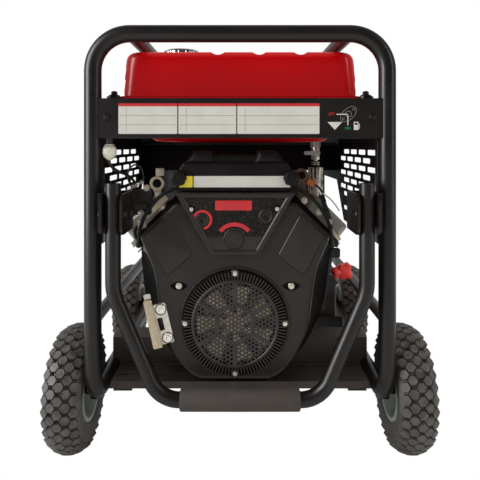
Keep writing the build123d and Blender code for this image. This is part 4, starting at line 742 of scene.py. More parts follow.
# fan guard: a finned outer ring and a perforated face stiffened by ribs
guard = {"face": 14, "fieldRadius": 81, "pitch": 8.3, "hole": 2.75, "thick": 1.2, "weld": 0.02, "fieldSunk": 2,
         "fins": 96, "finIn": 87, "finOut": 103, "finThick": 2.6, "finDeep": 11, "finSunk": 6.5,
         "ribIn": 40, "ribOut": 83, "screws": 100}
frontFacing = Matrix(((1, 0, 0, crank["x"] / 1000), (0, 0, -1, atSetback(guard["face"]) / 1000),
                      (0, 1, 0, crank["z"] / 1000), (0, 0, 0, 1)))


def makePerforationTree():
    # one holed hexagon on each point of the field, merged into a sheet and given its thickness
    tree, given = newTree("perforatedField", {"Pitch": "Float", "Hole Radius": "Float", "Thickness": "Float",
                                              "Material": "Material"})
    cellRadius = addNode(tree, "ShaderNodeMath", {0: given["Pitch"], 1: 1 / math.sqrt(3)}, operation="MULTIPLY")
    cell = addNode(tree, "GeometryNodeCurvePrimitiveCircle", {"Resolution": 6, "Radius": cellRadius})
    hole = addNode(tree, "GeometryNodeCurvePrimitiveCircle", {"Resolution": 12, "Radius": given["Hole Radius"]})
    edges = addNode(tree, "GeometryNodeJoinGeometry", {0: [cell, hole]})
    filled = addNode(tree, "GeometryNodeFillCurve", {"Curve": edges})
    spread = addNode(tree, "GeometryNodeInstanceOnPoints", {"Points": given["Geometry"], "Instance": filled})
    real = addNode(tree, "GeometryNodeRealizeInstances", {"Geometry": spread})
    sheet = addNode(tree, "GeometryNodeMergeByDistance", {"Geometry": real, "Distance": guard["weld"] / 1000})
    raised = addNode(tree, "GeometryNodeExtrudeMesh", {"Mesh": sheet, "Offset Scale": given["Thickness"],
                                                       "Individual": False})
    flipped = addNode(tree, "GeometryNodeFlipFaces", {"Mesh": sheet})
    both = addNode(tree, "GeometryNodeJoinGeometry", {0: [raised, flipped]})
    closed = addNode(tree, "GeometryNodeMergeByDistance", {"Geometry": both, "Distance": guard["weld"] / 1000})
    return endTree(tree, closed, given["Material"])


def makeFinTree():
    # thin radial fins standing round a ring
    tree, given = newTree("radialFins", {"Fins": "Int", "Radius": "Float", "Length": "Float", "Thickness": "Float",
                                         "Depth": "Float", "Material": "Material"})
    ring = addNode(tree, "GeometryNodeMeshCircle", {"Vertices": given["Fins"], "Radius": given["Radius"]})
    size = addNode(tree, "ShaderNodeCombineXYZ", {"X": given["Length"], "Y": given["Thickness"], "Z": given["Depth"]})
    fin = addNode(tree, "GeometryNodeMeshCube", {"Size": size})
    turn = ringTurn(tree, given["Fins"])[1]
    facing = addNode(tree, "ShaderNodeCombineXYZ", {"Z": turn})
    spread = addNode(tree, "GeometryNodeInstanceOnPoints", {"Points": ring, "Instance": fin, "Rotation": facing})
    return endTree(tree, spread, given["Material"])


cells = []
for column in range(-12, 13):
    for row in range(-12, 13):
        x = guard["pitch"] * column * math.sqrt(3) / 2
        z = guard["pitch"] * (row + 0.5 * (column % 2))
        if math.hypot(x, z) < guard["fieldRadius"]:
            cells.append((x, z, 0))
field = runTree("field", seedMesh("field", cells), makePerforationTree(), {
    "Pitch": guard["pitch"] / 1000, "Hole Radius": guard["hole"] / 1000, "Thickness": guard["thick"] / 1000,
    "Material": dustedNylon})
fins = runTree("fins", seedMesh("finSeed", []), makeFinTree(), {
    "Fins": guard["fins"], "Radius": (guard["finIn"] + guard["finOut"]) / 2000,
    "Length": (guard["finOut"] - guard["finIn"] + 2) / 1000, "Thickness": guard["finThick"] / 1000,
    "Depth": guard["finDeep"] / 1000, "Material": mouldedNylon})
for mesh, sunk in ((field, guard["fieldSunk"]), (fins, guard["finSunk"])):
    mesh.transform(Matrix.Translation((0, 0, -sunk / 1000)))
    mesh.transform(frontFacing)


def guardRing(profile, x, z, segments):
    return turned([(r, guard["face"] + u) for r, u in profile], x, z, segments)


addForm(guardRing([(101, 13), (106, 13), (106, 7), (105, 6), (103.4, 5.6), (101, 6)], 0, 0, 96), 1)
addForm(guardRing([(82, 4), (82, 0.8), (83, -0.2), (86, -0.2), (87.4, 0.8), (87.4, 12), (84.5, 12), (84.5, 4)],
                  0, 0, 96))
for k in range(6):
    a, b = math.radians(30 + 60 * k), math.radians(90 + 60 * k)
    start = polar(guard["ribIn"], a)
    for end, half in ((polar(guard["ribIn"], b), 2.4), (polar(guard["ribOut"], a), 3.2)):
        corners = barCorners(*start, *end, half)
        addForm(frontPlate(corners, 0.4, guard["face"] + 2.5, guard["face"] + 0.2, 0.4, steps=2))
guardScrews = [polar(guard["screws"], a) for a in turns(4)]
for x, z in guardScrews:
    addForm(guardRing([(0, 13), (9, 13), (8.6, 4.4), (7.6, 3.6), (0, 3.6)], x, z, 28))
guardFrame = formMesh("guardRings", dustedNylon, shadedNylon)
finishParts("fanGuard", [guardFrame, field, fins], "housing_plastic", ["fan_guard"], 36)

# fan: broad blade tips close behind the guard, showing pale through its holes
fan = {"blades": 7, "hub": 20, "tip": 77, "front": 18.8, "edge": 28.4, "back": 46, "rootHalf": 0.22, "tipHalf": 0.24,
       "lean": 0.3, "first": 0.2}
for turn in turns(fan["blades"]):
    root, lead = turn + fan["first"], turn + fan["first"] + fan["lean"]
    blade = [polar(fan["hub"] - 2, root - fan["rootHalf"]), polar(fan["tip"], lead - fan["tipHalf"]),
             polar(fan["tip"], lead + fan["tipHalf"]), polar(fan["hub"] - 2, root + fan["rootHalf"])]
    addForm(frontPlate(blade, [1, 3, 3, 1], fan["edge"], fan["front"], 0.8))
addForm(turned([(0, fan["back"]), (fan["hub"], fan["back"]), (fan["hub"], fan["front"] + 1),
                (fan["hub"] - 1, fan["front"]), (0, fan["front"])], 0, 0, 40))
finishForm("fanTips", [dustedAlloy], "cast_alloy", (), 36, "crank_train")

# fascia: a raised rim round a coarse-grained field, with a round cap, two dished badges and bare places for print
fascia = {"corners": [(48.5, 137), (121, 261.5), (-121, 261.5), (-48.5, 137)], "radii": [9, 3, 3, 9], "back": 30,
          "rim": 21, "floor": 24, "screws": [(-88, 228), (85, 229)], "cap": (-1, 168, 22.5),
          "badges": [(-66, 207, 13), (62, 214, 14)]}


def fasciaRings(*steps):
    corners, radii = fascia["corners"], fascia["radii"]
    return [[onEngine(x, z, u) for x, z in roundedPolygon(corners, radii, inset)] for inset, u in steps]


def arcBand(x, z, radius, width, start, end):
    # a flat printed arc
    angles = [math.radians(start + (end - start) * k / 28) for k in range(29)]
    outline = [polar(radius + width / 2, a) for a in angles] + [polar(radius - width / 2, a) for a in reversed(angles)]
    return loft([[onEngine(a + x, b + z, u) for a, b in outline] for u in (24.5, 23.5)])


back, brim, floor = fascia["back"], fascia["rim"], fascia["floor"]
addForm(closedLoft(fasciaRings((0, back), (0, brim + 1.5), (0.5, brim + 0.4), (1.6, brim), (7.4, brim),
                               (8.4, brim + 0.6), (11, floor + 0.5), (11, back))))
addForm(loft(fasciaRings((10.8, back), (10.8, floor))), 1)
addForm(frontPlate([(42, 147), (57, 174), (-57, 174), (-42, 147)], [6, 3, 3, 6], 25, 23.2, 0.6))
for x, z in fascia["screws"]:
    addForm(turned([(0, 25), (8, 25), (8, 23.6), (7, 23.2), (0, 23.4)], x, z, 32), 4)
for x, z, r in [fascia["cap"]] + fascia["badges"]:
    addForm(turned([(r - 4, 25), (r, 25), (r, 23.4), (r - 1, 22.6), (r - 3, 22.6), (r - 4, 23.4)], x, z, 48))
addForm(turned([(0, 25), (18, 25), (18, 21.4), (17, 20.4), (13, 20), (12.2, 21), (0, 21)], *fascia["cap"][:2], 48))
for x, z, r in fascia["badges"]:
    r -= 3.5
    addForm(turned([(2.4, 26), (r, 26), (r, 23.2), (r - 1, 22.8), (2.6, 24.2), (2.4, 24.4)], x, z, 40), 3)
addForm(frontPlate(rectangle(-40, 34, 226, 246), 2.5, 24.5, 23.4, 0.3), 2)
addForm(arcBand(-1, 161, 36.8, 8, 39, 141), 2)
addForm(arcBand(-66, 207, 17.5, 5, -80, 172), 2)
finishForm("frontFascia", [mouldedNylon, speckledNylon, filmRed, blackOxide, shadedNylon],
           "housing_plastic", ["front_fascia"], 36)

# air-cleaner cover with a notch in its top, two bare strips and lobed knobs
cover = {"back": 200, "front": 30, "half": [(113, 262), (124, 283), (120, 300), (106, 323)], "ease": [7, 9, 8, 5],
         "shoulder": [(107, 318), (84, 347), (47, 347), (36, 318)], "shoulderEase": [3, 7, 3, 2]}
addForm(frontPlate(cover["half"] + mirrored(cover["half"], -1), cover["ease"] + cover["ease"][::-1],
                   cover["back"], cover["front"], 6))
for side in (-1, 1):
    addForm(frontPlate(mirrored(cover["shoulder"], side), cover["shoulderEase"][::side],
                       cover["back"], cover["front"] + 3, 14, steps=5))
addForm(frontPlate([(50, 316), (50, 338), (-50, 338), (-50, 316)], 2, cover["back"], cover["front"] + 10, 6))
for x0, x1, kind in ((-114, -86, 2), (-84, 112, 1)):
    addForm(frontPlate(rectangle(x0, x1, 272, 295), 2, 31, 29.4, 0.3), kind)
finishForm("airCleanerCover", [coverNylon, filmWhite, filmYellow], "housing_plastic", ["air_cleaner_cover"], 36)
knob = {"x": 114, "z": 291, "lobes": 8, "lobe": 0.9, "profile": [
    (0, 29.8), (14, 29.8), (15.6, 28.5), (16, 19), (15.2, 15), (13, 13.6), (9, 13.2), (8, 14.4), (0, 14.4)]}
for side, name in ((-1, "left"), (1, "right")):
    addForm(turned(knob["profile"], side * knob["x"], knob["z"], 64, knob["lobes"], knob["lobe"]))
    finishForm(name + "Knob", [coverNylon], "housing_plastic", [name + "_cover_knob"], 40, name + "_knob")
print("engine front made")

# filler cap: a fluted chromed pressing
cap = {"x": -132, "u": 160, "flutes": 24, "flute": 0.9, "profile": [
    (0, 835), (40, 835), (41, 836.5), (41, 851), (39.5, 854), (35, 857), (30, 858), (29, 856.6), (26, 856.6),
    (25, 858.4), (12, 859.6), (0, 860)]}
addForm(lathe(cap["profile"], (cap["x"], atSetback(cap["u"])), "z", 96, cap["flutes"], cap["flute"]))
finishForm("fuelCap", [capChrome], "cap_chrome", ["fuel_cap"], 40, "filler_cap")
print("tank dressed")

# screws and bolts
handle = {"y": -461, "pivotZ": 511, "gripZ": 154, "gripHalf": 115, "gripRadius": 21, "bore": 15.2}
toFront = (0, -1, 0)
lugs = [(-150, 26), (-136, -31)]
boltParts = []
for side in (-1, 1):
    tankPlaces = [(side * 257, atSetback(u), 743) for u in (40, 680)]
    boltParts += [
        boltMesh("pivotHeads", [(side * 266, handle["y"], handle["pivotZ"])], (side, 0, 0),
                 6, 8, 5, 9, 1.4, blackOxide),
        boltMesh("pivotNuts", [(side * 222, handle["y"], handle["pivotZ"])], (-side, 0, 0),
                 6, 9, 5.4, 9.6, 1.4, blackOxide),
        boltMesh("tankBolts", tankPlaces, (0, 0, 1), 6, 7, 7, 12, 3, blackOxide),
        boltMesh("tankNuts", [(x, y, 733) for x, y, z in tankPlaces], (0, 0, -1), 6, 7, 5, 8, 1.5, blackOxide),
        boltMesh("apronBolts", [(side * 260, -448, 698), (side * 260, 478, 698)], [(0, -1, 0), (0, 1, 0)],
                 24, 6.4, 2.6, 8, 1.6, blackOxide),
        boltMesh("axleNuts", [(side * 387.5, y, wheels["z"]) for y in wheels["y"].values()], (side, 0, 0),
                 6, 13.4, 6.4, 15, 1.8, zincPlate)]
finishParts("frameBolts", boltParts, "zinc_steel", ["frame_bolts"], 30)
finishParts("housingScrews", [
    boltMesh("guardScrews", [onEngine(x, z, guard["face"] + 3.8) for x, z in guardScrews], toFront,
             24, 4.6, 2.6, 5.6, 0.8, zincPlate),
    boltMesh("eyeScrews", [onEngine(side * eye["x"], eye["z"], 29.5) for side in (-1, 1)], toFront,
             6, 5, 3, 6.6, 1, zincPlate),
    boltMesh("fasciaScrews", [onEngine(x, z, 23.4) for x, z in fascia["screws"]], toFront,
             24, 3.6, 2, 4.5, 0.8, zincPlate),
    # the lug bolts take the same near-white nickel: partly painted light
    boltMesh("lugBolts", [onEngine(x, z, 26) for x, z in lugs], toFront, 24, 7, 4.4, 10, 1.4, nickelPaintedLight)],
            "zinc_steel", ["housing_screws"], 30)

# lift eyes, and a slotted plate with a folded wing at the lower left of the housing
bracket = {"eyes": [(-1, -169, 275, 16, 9.6), (1, 142, 293, 15, 9.0)], "middle": (-143, -2.5),
           "lean": math.radians(13.8), "plate": (-15, 11.5, -41, 41), "slot": (-12, -1, -13.5, 13.5), "fold": -13.4,
           "plateAim": (-1.7, 13, 41), "slotAim": (-6.5, 5.5, 13.5)}


def onBracket(a, b, u):
    x, z = leaned(a, b, bracket["lean"])
    return onEngine(bracket["middle"][0] + x, bracket["middle"][1] + z, u)


def bracketRing(outline, u):
    return [onBracket(a, b, u) for a, b in outline]


def bearing(point, middle, halfA, halfB):
    return math.atan2(point[1] / halfB, (point[0] - middle) / halfA)


def slotPoint(point):
    # the slot's point that lies the same way as a point of the plate's edge
    aim = bearing(point, *bracket["plateAim"])
    return min(slotEdge, key=lambda other: (bearing(other, *bracket["slotAim"]) - aim) ** 2)


for side, x, z, radius, hole in bracket["eyes"]:
    # the right eye takes the darker steel: painted shade
    kind = 1 if side < 0 else 2
    addForm(turned([(hole, 105), (radius - 0.8, 105), (radius, 104.2), (radius, 100.8), (radius - 0.8, 100),
                    (hole + 0.6, 100), (hole, 100.6)], x, z, 48), kind)
    shank = [(x - 8, z - hole - 2), (side * 150 - 12, 192), (side * 150 + 12, 192), (x + 8, z - hole - 2)]
    addForm(frontPlate(shank, 1, 104.8, 100.2, 0.6), kind)
slotEdge = roundedPolygon(rectangle(*bracket["slot"]), 3)
plateEdge = roundedPolygon(rectangle(*bracket["plate"]), 4)
slotRing = [slotPoint(point) for point in plateEdge]
addForm(closedLoft([bracketRing(plateEdge, 30), bracketRing(plateEdge, 26.6),
                    bracketRing([(a * 0.985, b * 0.99) for a, b in plateEdge], 26),
                    bracketRing(slotRing, 26), bracketRing(slotRing, 30)]))
for x, z in lugs:
    addForm(turned([(11, 26.4), (11.6, 25.4), (10.4, 25.2), (10.2, 26.4)], x, z, 40), 3)
fold = bracket["fold"]
wing = roundedPolygon([(-33, -46), (fold, -44.5), (fold, 53), (-31, 54)], [3, 2, 2, 4])
addForm(loft([[onBracket(a, b, 24 - near + (fold - a) * 0.25) for a, b in wing] for near in (0, 3.2)]), 1)
addForm(loft([bracketRing(roundedPolygon(rectangle(-29, -15, 53, 64), 2), u) for u in (34, 30)]))
finishForm("engineBrackets", [zincPlate, passivatedZinc, shadedEyeSteel, blackOxide],
           "zinc_steel", ["engine_brackets"], 32)


def coilRoute(start, end, radius, count, steps=14):
    # a close coil drawn round the line between two points
    a, b = Vector(start), Vector(end)
    along = (b - a).normalized()
    side = along.cross(Vector((0, 1, 0))).normalized()
    other = along.cross(side)
    route = []
    for k in range(count * steps + 1):
        turn = 2 * math.pi * k / steps
        route.append(tuple(a.lerp(b, k / (count * steps)) + (side * math.cos(turn) + other * math.sin(turn)) * radius))
    return route


# fittings beside the left head: a band along the housing's slope, tabs, clips, bolts, a throttle spring and its cable
addForm(leanBar(-203, 491, -158, 534, 8, 93, 97), 1)
for *sides, edge, kind in ((-181, -163, 94, 98, 577.5, 594, 1.2, 1), (-218, -199, 88, 93, 466, 485, 1.4, 0),
                           (-238, -196, 84, 93, 506, 520, 2, 2), (-233, -222, 82, 92, 526, 543, 2, 2)):
    addForm(roundedBox(*sides, edge), kind)
finishParts("leftFittings", [
    formMesh("leftFittings", zincPlate, passivatedZinc, mouldedNylon),
    boltMesh("leftBolts", alongFrame([(-200, 552, 92), (-176, 538, 94), (-163, 508, 94), (-212, 498, 92),
                                      (-172, 587, 94)]), toFront, 6, 5, 4, 7.4, 1.4, zincPlate),
    wire("spring", coilRoute(onFrame(-246, 545, 88), onFrame(-206, 567, 90), 3.4, 12), 0.8, zincPlate),
    wire("loop", alongFrame([(-206, 567, 92), (-205, 592, 88), (-222, 606, 86), (-240, 590, 86), (-238, 562, 88),
                             (-218, 541, 90), (-210, 530, 92)]), 1.8, plainRubber),
    wire("hook", alongFrame([(-212, 470, 95), (-222, 470, 92), (-226, 456, 92), (-221, 441, 95), (-211, 440, 99)]),
         4, plainRubber)], "zinc_steel")

# fittings beside the right head: an orange plug, a cream tie with its tail, and dark plugs on a bundle down the
# housing's edge
orangePlug = {"x": 154, "z": 562, "lean": math.radians(-24), "corners": rectangle(-9, 9, -7.5, 7.5)}
bundle = [(174, 535, 112), (188, 500, 106), (195, 462, 104), (195, 412, 104), (188, 360, 105), (181, 320, 106),
          (178, 300, 124)]
corners = [leaned(a, b, orangePlug["lean"]) for a, b in orangePlug["corners"]]
addForm(frontPlate([(orangePlug["x"] + a, orangePlug["z"] + b) for a, b in corners], 1.6, 120, 108, 1.6, onFrame))
addForm(roundedBox(193, 212, 98, 114, 424, 455, 2.4), 1)
addForm(roundedBox(195, 216, 98, 112, 401, 421, 2.4), 1)
addForm(leanBar(196, 462, 214, 440, 4, 92, 95), 2)
finishParts("rightFittings", [
    formMesh("rightFittings", orangeNylon, mouldedNylon, passivatedZinc),
    wire("lead", alongFrame([(163, 558, 114), (172, 552, 114), (180, 540, 112), (186, 520, 110)]), 2.2, plainRubber),
    wire("tie", alongFrame([(178, 540, 108), (192, 531, 105), (206, 516, 104), (215, 501, 105)]), 1.5, ivoryNylon),
    boltMesh("rightBolts", alongFrame([(138, 524, 96), (170, 500, 96), (190, 478, 96)]), toFront,
             6, 5, 4, 7.6, 1.4, zincPlate),
    *(wire("bundle", alongFrame([(x + d, z, u + d) for x, z, u in bundle]), 3, plainRubber) for d in (0, 4.5))],
            "mount_rubber")

# folded front edges of the side guards, closed against the legs; the lips along the riser's foot; and the soft strip
# between the heat shield and the tank's pan
for name, material, slot, angle, *boxes in (
        ("guardEdges", powderCoat, "frame_paint", 34, (-273, -271, 1, 20.4, 449, 677, 0.6),
         (271, 273, 1, 20.4, 449, 677, 0.6)),
        ("riserFoot", litBeamCoat, "frame_paint", 34, (-262, 262, 158, 171.5, 145, 148, 0.8),
         (-262, 262, 110, 116, 145, 147, 0.6)),
        ("shieldStrip", plainRubber, "mount_rubber", 40, (-262, 262, 416, 424, 645, 652, 1.5))):
    for box in boxes:
        addForm(roundedBox(*box))
    finishForm(name, [material], slot, (), angle)

# foam sleeve on the handle
r, half, bore = handle["gripRadius"], handle["gripHalf"], handle["bore"]
sleeve = acrossMiddle([(bore, -half), (r - 2.4, -half), (r - 0.6, -half + 1.2), (r, -half + 3.4), (r + 0.15, 0)])
addForm(lathe(sleeve, (handle["y"], handle["gripZ"]), "x", 72))
gripPiece = finishForm("handleGrip", [foamSkin], "grip_foam", ["handle_grip"], 40, "handle")

# leads and hose, each a round line between its two ends
leads = {"radius": 4, "plugX": 205, "plugZ": 146, "hose": 8, "boot": [
    (4.1, 81), (6.6, 81), (7, 82), (7, 85), (6.2, 86), (6.2, 89), (7, 90), (7, 93), (6.4, 94), (7.6, 97),
    (8, 105), (4.1, 105)]}
valve = {"x": 184, "u": 255}


def freeLead(name, route, radius):
    curve = smoothLine(name, route, radius)
    curve.materials.append(plainRubber)
    piece = addObject(name, curve)
    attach(piece, "frame")
    return piece


for side, name in ((-1, "leftPlugLead"), (1, "rightPlugLead")):
    plugX, plugZ = leads["plugX"], leads["plugZ"]
    route = ((117, 268, 82), (151, 262, 80), (196, 206, 72), (plugX, plugZ, 66), (plugX, plugZ, 85))
    freeLead(name, [onEngine(side * x, z, u) for x, z, u in route], leads["radius"])
    addForm(turned(leads["boot"], side * plugX, plugZ, 32))
finishForm("plugBoots", [plainRubber], "mount_rubber", ["wiring_leads"], 40)
freeLead("plugLead", alongFrame([(-258, 614, 0), (-258, 598, 0), (-224, 573, 98), (-224, 549, 98)]),
         leads["radius"] - 1)
x, u = valve["x"], valve["u"]
hose = alongFrame([(x, 605, u), (x, 540, u), (x, 482, u), (120, 482, u), (10, 482, u), (10, 482, 201)])
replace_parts(freeLead("fuelHose", hose, leads["hose"]), "fuel_hose")
for z in (596, 601):
    band = [(8, z), (10, z), (10.4, z + 0.5), (10.4, z + 1.9), (10, z + 2.4), (8, z + 2.4)]
    addForm(lathe(band, (x, atSetback(u)), "z", 36))
for side in (-1, 1):
    addForm(roundedBox(x + side * 4 - 2.2, x + side * 4 + 2.2, 238, 246, 595.6, 603.8, 0.8))
finishForm("hoseClamp", [zincPlate], "zinc_steel", (), 36)
print("leads made")

# ivory plug that hangs under the apron, dark at its latch
leadPlug = {"x": -257, "u": 0, "body": [(614, 3.2, 3), (616, 6.4, 5.2), (621, 11.4, 8), (629, 14, 9.4), (636, 13.4, 9),
                                        (642, 10.6, 7.8), (645, 8.4, 6.2)]}


def plugStack(sections, power=3.2):
    # soft-sided block through (height, half width, half depth) sections
    rings = []
    for z, halfX, halfY in sections:
        ring = []
        for c, s in [(math.cos(a), math.sin(a)) for a in turns(32)]:
            reach = (abs(c) ** power + abs(s) ** power) ** (-1 / power)
            ring.append((leadPlug["x"] + halfX * reach * c, atSetback(leadPlug["u"]) + halfY * reach * s, z))
        rings.append(ring)
    return loft(rings)


addForm(plugStack(leadPlug["body"], 2.6))
addForm(plugStack([(644.6, 6.8, 3.6), (657, 6.8, 3.6)]), 1)
for z in (637, 641):
    addForm(plugStack([(z, 11.4, 8.6), (z + 1.6, 11, 8.5)]), 1)
finishForm("leadPlug", [ivoryNylon, plainRubber], "connector_ivory", ["lead_connector"], 40)

# red boot on the starter's stud: a ribbed nozzle and a soft four-cornered cap
boot = {"left": 221, "u": 250, "z": 338, "reach": 17.4, "dip": 3.0, "roll": 0.16, "nozzle": [
    (7, 0), (10.6, 0), (12.4, 1.4), (13.6, 6), (13.2, 10), (12.4, 12), (13.2, 22), (0, 22), (0, 12), (7, 11)]}
verts, faces = lathe(boot["nozzle"], (0, 0), "x", 40)
aimed = Matrix.Rotation(math.radians(24), 3, "Z") @ Matrix.Rotation(math.radians(-14), 3, "Y")
nozzleRoot = Vector((boot["left"] + 2, atSetback(boot["u"]) - 9, boot["z"] - 5))
addForm(([tuple(aimed @ Vector(point) + nozzleRoot) for point in verts], faces))
rings = []
for u, scale in ((264, 0.86), (263, 0.95), (261, 1.0), (239, 1.0), (237, 0.95), (236, 0.86)):
    ring = []
    for turn in turns(48):
        reach = scale * (boot["reach"] - boot["dip"] * math.cos(4 * (turn - boot["roll"])))
        ring.append(onFrame(boot["left"] + 33 + reach * math.cos(turn) * 0.94,
                            boot["z"] + reach * math.sin(turn) * 1.1, u))
    rings.append(ring)
addForm(loft(rings))
finishForm("terminalBoot", [redVinyl], "boot_red", ["terminal_boot"], 42)

# aluminised sleeve round the hose, gathered in folds
folds = [(15.6, 513), (17.6, 513), (17.9, 520), (17.2, 529), (18, 538), (17.3, 549), (18, 560), (17.4, 571),
         (17.9, 582), (17.2, 590), (15.6, 590)]
middleX, middleY = valve["x"], atSetback(valve["u"])
verts, faces = lathe(folds, (middleX, middleY), "z", 60)
waved = []
for x, y, z in verts:
    turn = math.atan2(y - middleY, x - middleX)
    ripple = 1 + 0.035 * math.cos(9 * turn + 0.12 * z) + 0.02 * math.cos(17 * turn - 0.2 * z)
    waved.append((middleX + (x - middleX) * ripple, middleY + (y - middleY) * ripple, z))
addForm((waved, faces))
finishForm("foilSleeve", [creasedFoil], "mount_rubber", (), 60)

# apron plates: bare pale film with a red head and thin rules; the valve's diagram beside them
apron = {"u": -13, "z0": 665.4, "z1": 724.9, "head": 5.8, "spans": [(-236.7, -122.1), (-119.9, -7.4), (-5.3, 154.6)],
         "arrow": [(170.4, 688.6), (184.7, 673.5), (199, 688.6)]}


def film(x0, x1, z0, z1, kind=0, lift=0.35, corner=0.8):
    corners = rectangle(x0, x1, z0, z1)
    addForm(frontPlate(corners, corner, apron["u"], apron["u"] - lift, 0.05, onFrame, 1), kind)


def inkRing(x, z, halfLong, halfShort, lean=0, width=0.8):
    # a thin printed oval
    rings = []
    for inset, lift in ((width, 0), (0, 0), (0, 0.3), (width, 0.3)):
        oval = [leaned((halfLong - inset) * math.cos(a), (halfShort - inset) * math.sin(a), lean) for a in turns(48)]
        rings.append([onFrame(x + a, z + b, apron["u"] - lift) for a, b in oval])
    addForm(closedLoft(rings), 2)


low, high = apron["z0"], apron["z1"] - apron["head"]
for x0, x1 in apron["spans"]:
    film(x0, x1, low, apron["z1"], 0, 0.35, 1.6)
    film(x0, x1, high, apron["z1"], 1, 0.5)
    for k in (1, 2):
        z = low + (high - low) * k / 3
        film(x0 + 3, x1 - 3, z - 0.35, z + 0.35, 2, 0.45, 0.1)
    film(x0 + 15, x0 + 15.7, low + 3, high - 3, 2, 0.45, 0.1)
film(187.7, 210.9, 702.6, 704.5)
film(209, 210.9, 682.1, 704.5)
addForm(loft([[onFrame(x, z, apron["u"] - lift) for x, z in reversed(apron["arrow"])] for lift in (0, 0.35)]))
film(221.5, 230.6, 673.1, 689)
film(231.6, 233, 675, 685.5)
film(223.2, 228.6, 683, 687.2, 3, 0.45, 0.4)
inkRing(211, 704, 19, 11, math.radians(42))
inkRing(211, 704, 6.4, 6.4)
inkRing(221, 713, 2.2, 2.2, 0, 0.6)
inkRing(201, 695, 2.2, 2.2, 0, 0.6)
finishForm("apronPlates", [filmWhite, filmRed, filmGrey, shadedNylon], "panel_paint", (), 30)


def plainWord(word, size, place, turn, material):
    # a switch word or a number in thin ink, upright and turned about the vertical
    curve = bpy.data.curves.new(word, "FONT")
    curve.body, curve.size, curve.extrude = word, size / 1000, 0.0001
    curve.align_x, curve.align_y = "CENTER", "CENTER"
    mesh = takeMesh(addObject(word, curve))
    upright = Matrix.Rotation(turn, 4, "Z") @ Matrix.Rotation(math.pi / 2, 4, "X")
    mesh.transform(Matrix.Translation([c / 1000 for c in place]) @ upright)
    return dressed(mesh, material)


finishParts("valveWords", [
    plainWord(word, 7.4, onFrame(x, z, apron["u"] - 0.3), 0, material)
    for word, x, z, material in (("OFF", 178, 704, filmRed), ("ON", 209.5, 676, filmGreen))], "panel_paint", (), 30)
print("front details made")

# control panel on the left: sockets with their slots, boots of small breakers, a meter window, rules and numbers
panel = {"x": -273.0, "duplex": [752, 812], "round": 642, "rows": [519, 594], "switch": 532, "switchZ": 599,
         "boots": 702, "bootRows": [505, 533, 580, 608], "bladeCircle": 11.5}


def onPanel(u, z, out):
    return (panel["x"] + out, atSetback(u), z)


def panelPlate(u0, u1, z0, z1, back, front, corner, edge, kind=0):
    addForm(frontPlate(rectangle(u0, u1, z0, z1), corner, back, front, edge, onPanel, 2), kind)


def panelRing(profile, u, z, segments, kind=0):
    addForm(lathe([(r, panel["x"] + out) for r, out in profile], (atSetback(u), z), "x", segments), kind)


for z in panel["rows"]:
    for u in panel["duplex"]:
        panelPlate(u - 20, u + 20, z - 31, z + 31, 0, -3, 8, 1.2)
        for middle in (z - 14.5, z + 14.5):
            panelPlate(u - 15, u + 15, middle - 12, middle + 12, -2, -4.4, 9, 0.8, 1)
            for u0, u1, z0, z1, corner in ((-7.6, -5.4, -2, 7, 0.3), (5.4, 7.6, -1, 6, 0.3),
                                           (-2.6, 2.6, -8.6, -3.8, 2.2)):
                panelPlate(u + u0, u + u1, middle + z0, middle + z1, -3, -4.55, corner, 0.05, 2)
    u = panel["round"]
    panelRing([(0, 0), (29, 0), (29, -6.4), (27.6, -8), (23.4, -8), (22, -7), (22, -4.6), (0, -4.6)], u, z, 56)
    panelRing([(0, -4), (19.4, -4), (19.4, -5.4), (18.6, -6), (0, -6)], u, z, 48, 1)
    for turn in (40, 140, 220, 320):
        middle = panel["bladeCircle"]
        blade = [leaned(a, b, math.radians(turn)) for a, b in rectangle(middle - 1.2, middle + 1.2, -4.4, 4.4)]
        addForm(frontPlate([(u + a, z + b) for a, b in blade], 0.3, -5, -6.15, 0.05, onPanel, 1), 2)
finishForm("panelSockets", [mouldedNylon, greyNylon, shadedNylon], slotOf["sockets"], ["sockets"], 36)
for z in panel["bootRows"]:
    panelRing([(0, 0), (10, 0), (10, -2), (8.6, -3), (8, -6), (7, -7.6), (0, -8)], panel["boots"], z, 28)
u = panel["switch"]
panelPlate(u - 24, u + 24, 622, 646, 0, -3, 3, 1)
panelPlate(u - 19, u + 19, 626, 642, -2, -3.2, 1.5, 0.1, 1)
for u0, u1 in ((492, 574), (600, 850)):
    for sides in ((u0, u1, 466, 467), (u0, u1, 650, 651), (u0, u0 + 1, 466, 651), (u1 - 1, u1, 466, 651)):
        panelPlate(*sides, 0, -0.3, 0.2, 0.05, 2)
panelRing([(16.5, 0), (20, 0), (20, -1.2), (19, -2), (17, -2), (16.5, -1.4)], u, panel["switchZ"], 40, 3)
for sides in ((519, 522.5, 492, 538), (541.5, 545, 492, 538), (519, 545, 535.5, 539), (519, 545, 491, 494.5)):
    panelPlate(*sides, 0, -2, 1, 0.5)
legends = [("ON", 8, 532, 546), ("OFF", 8, 532, 484), ("0", 8, 510, 612), ("1", 8, 556, 612)]
sockets = [(u, z) for z in reversed(panel["rows"]) for u in (812, 752, 642)]
legends += [(str(k + 1), 9, u, z + 37) for k, (u, z) in enumerate(sockets)]
finishParts("panelOverlay", [
    formMesh("panelOverlay", plainRubber, tintedWindow, filmGrey, zincPlate),
    boltMesh("panelScrews", [onPanel(u, z, 0) for u in (476, 866) for z in (463, 640)], (-1, 0, 0),
             24, 4.4, 2.2, 5.6, 0.8, blackOxide),
    *(plainWord(word, size, onPanel(u, z, -0.3), -math.pi / 2, filmWhite) for word, size, u, z in legends)],
            "panel_paint")

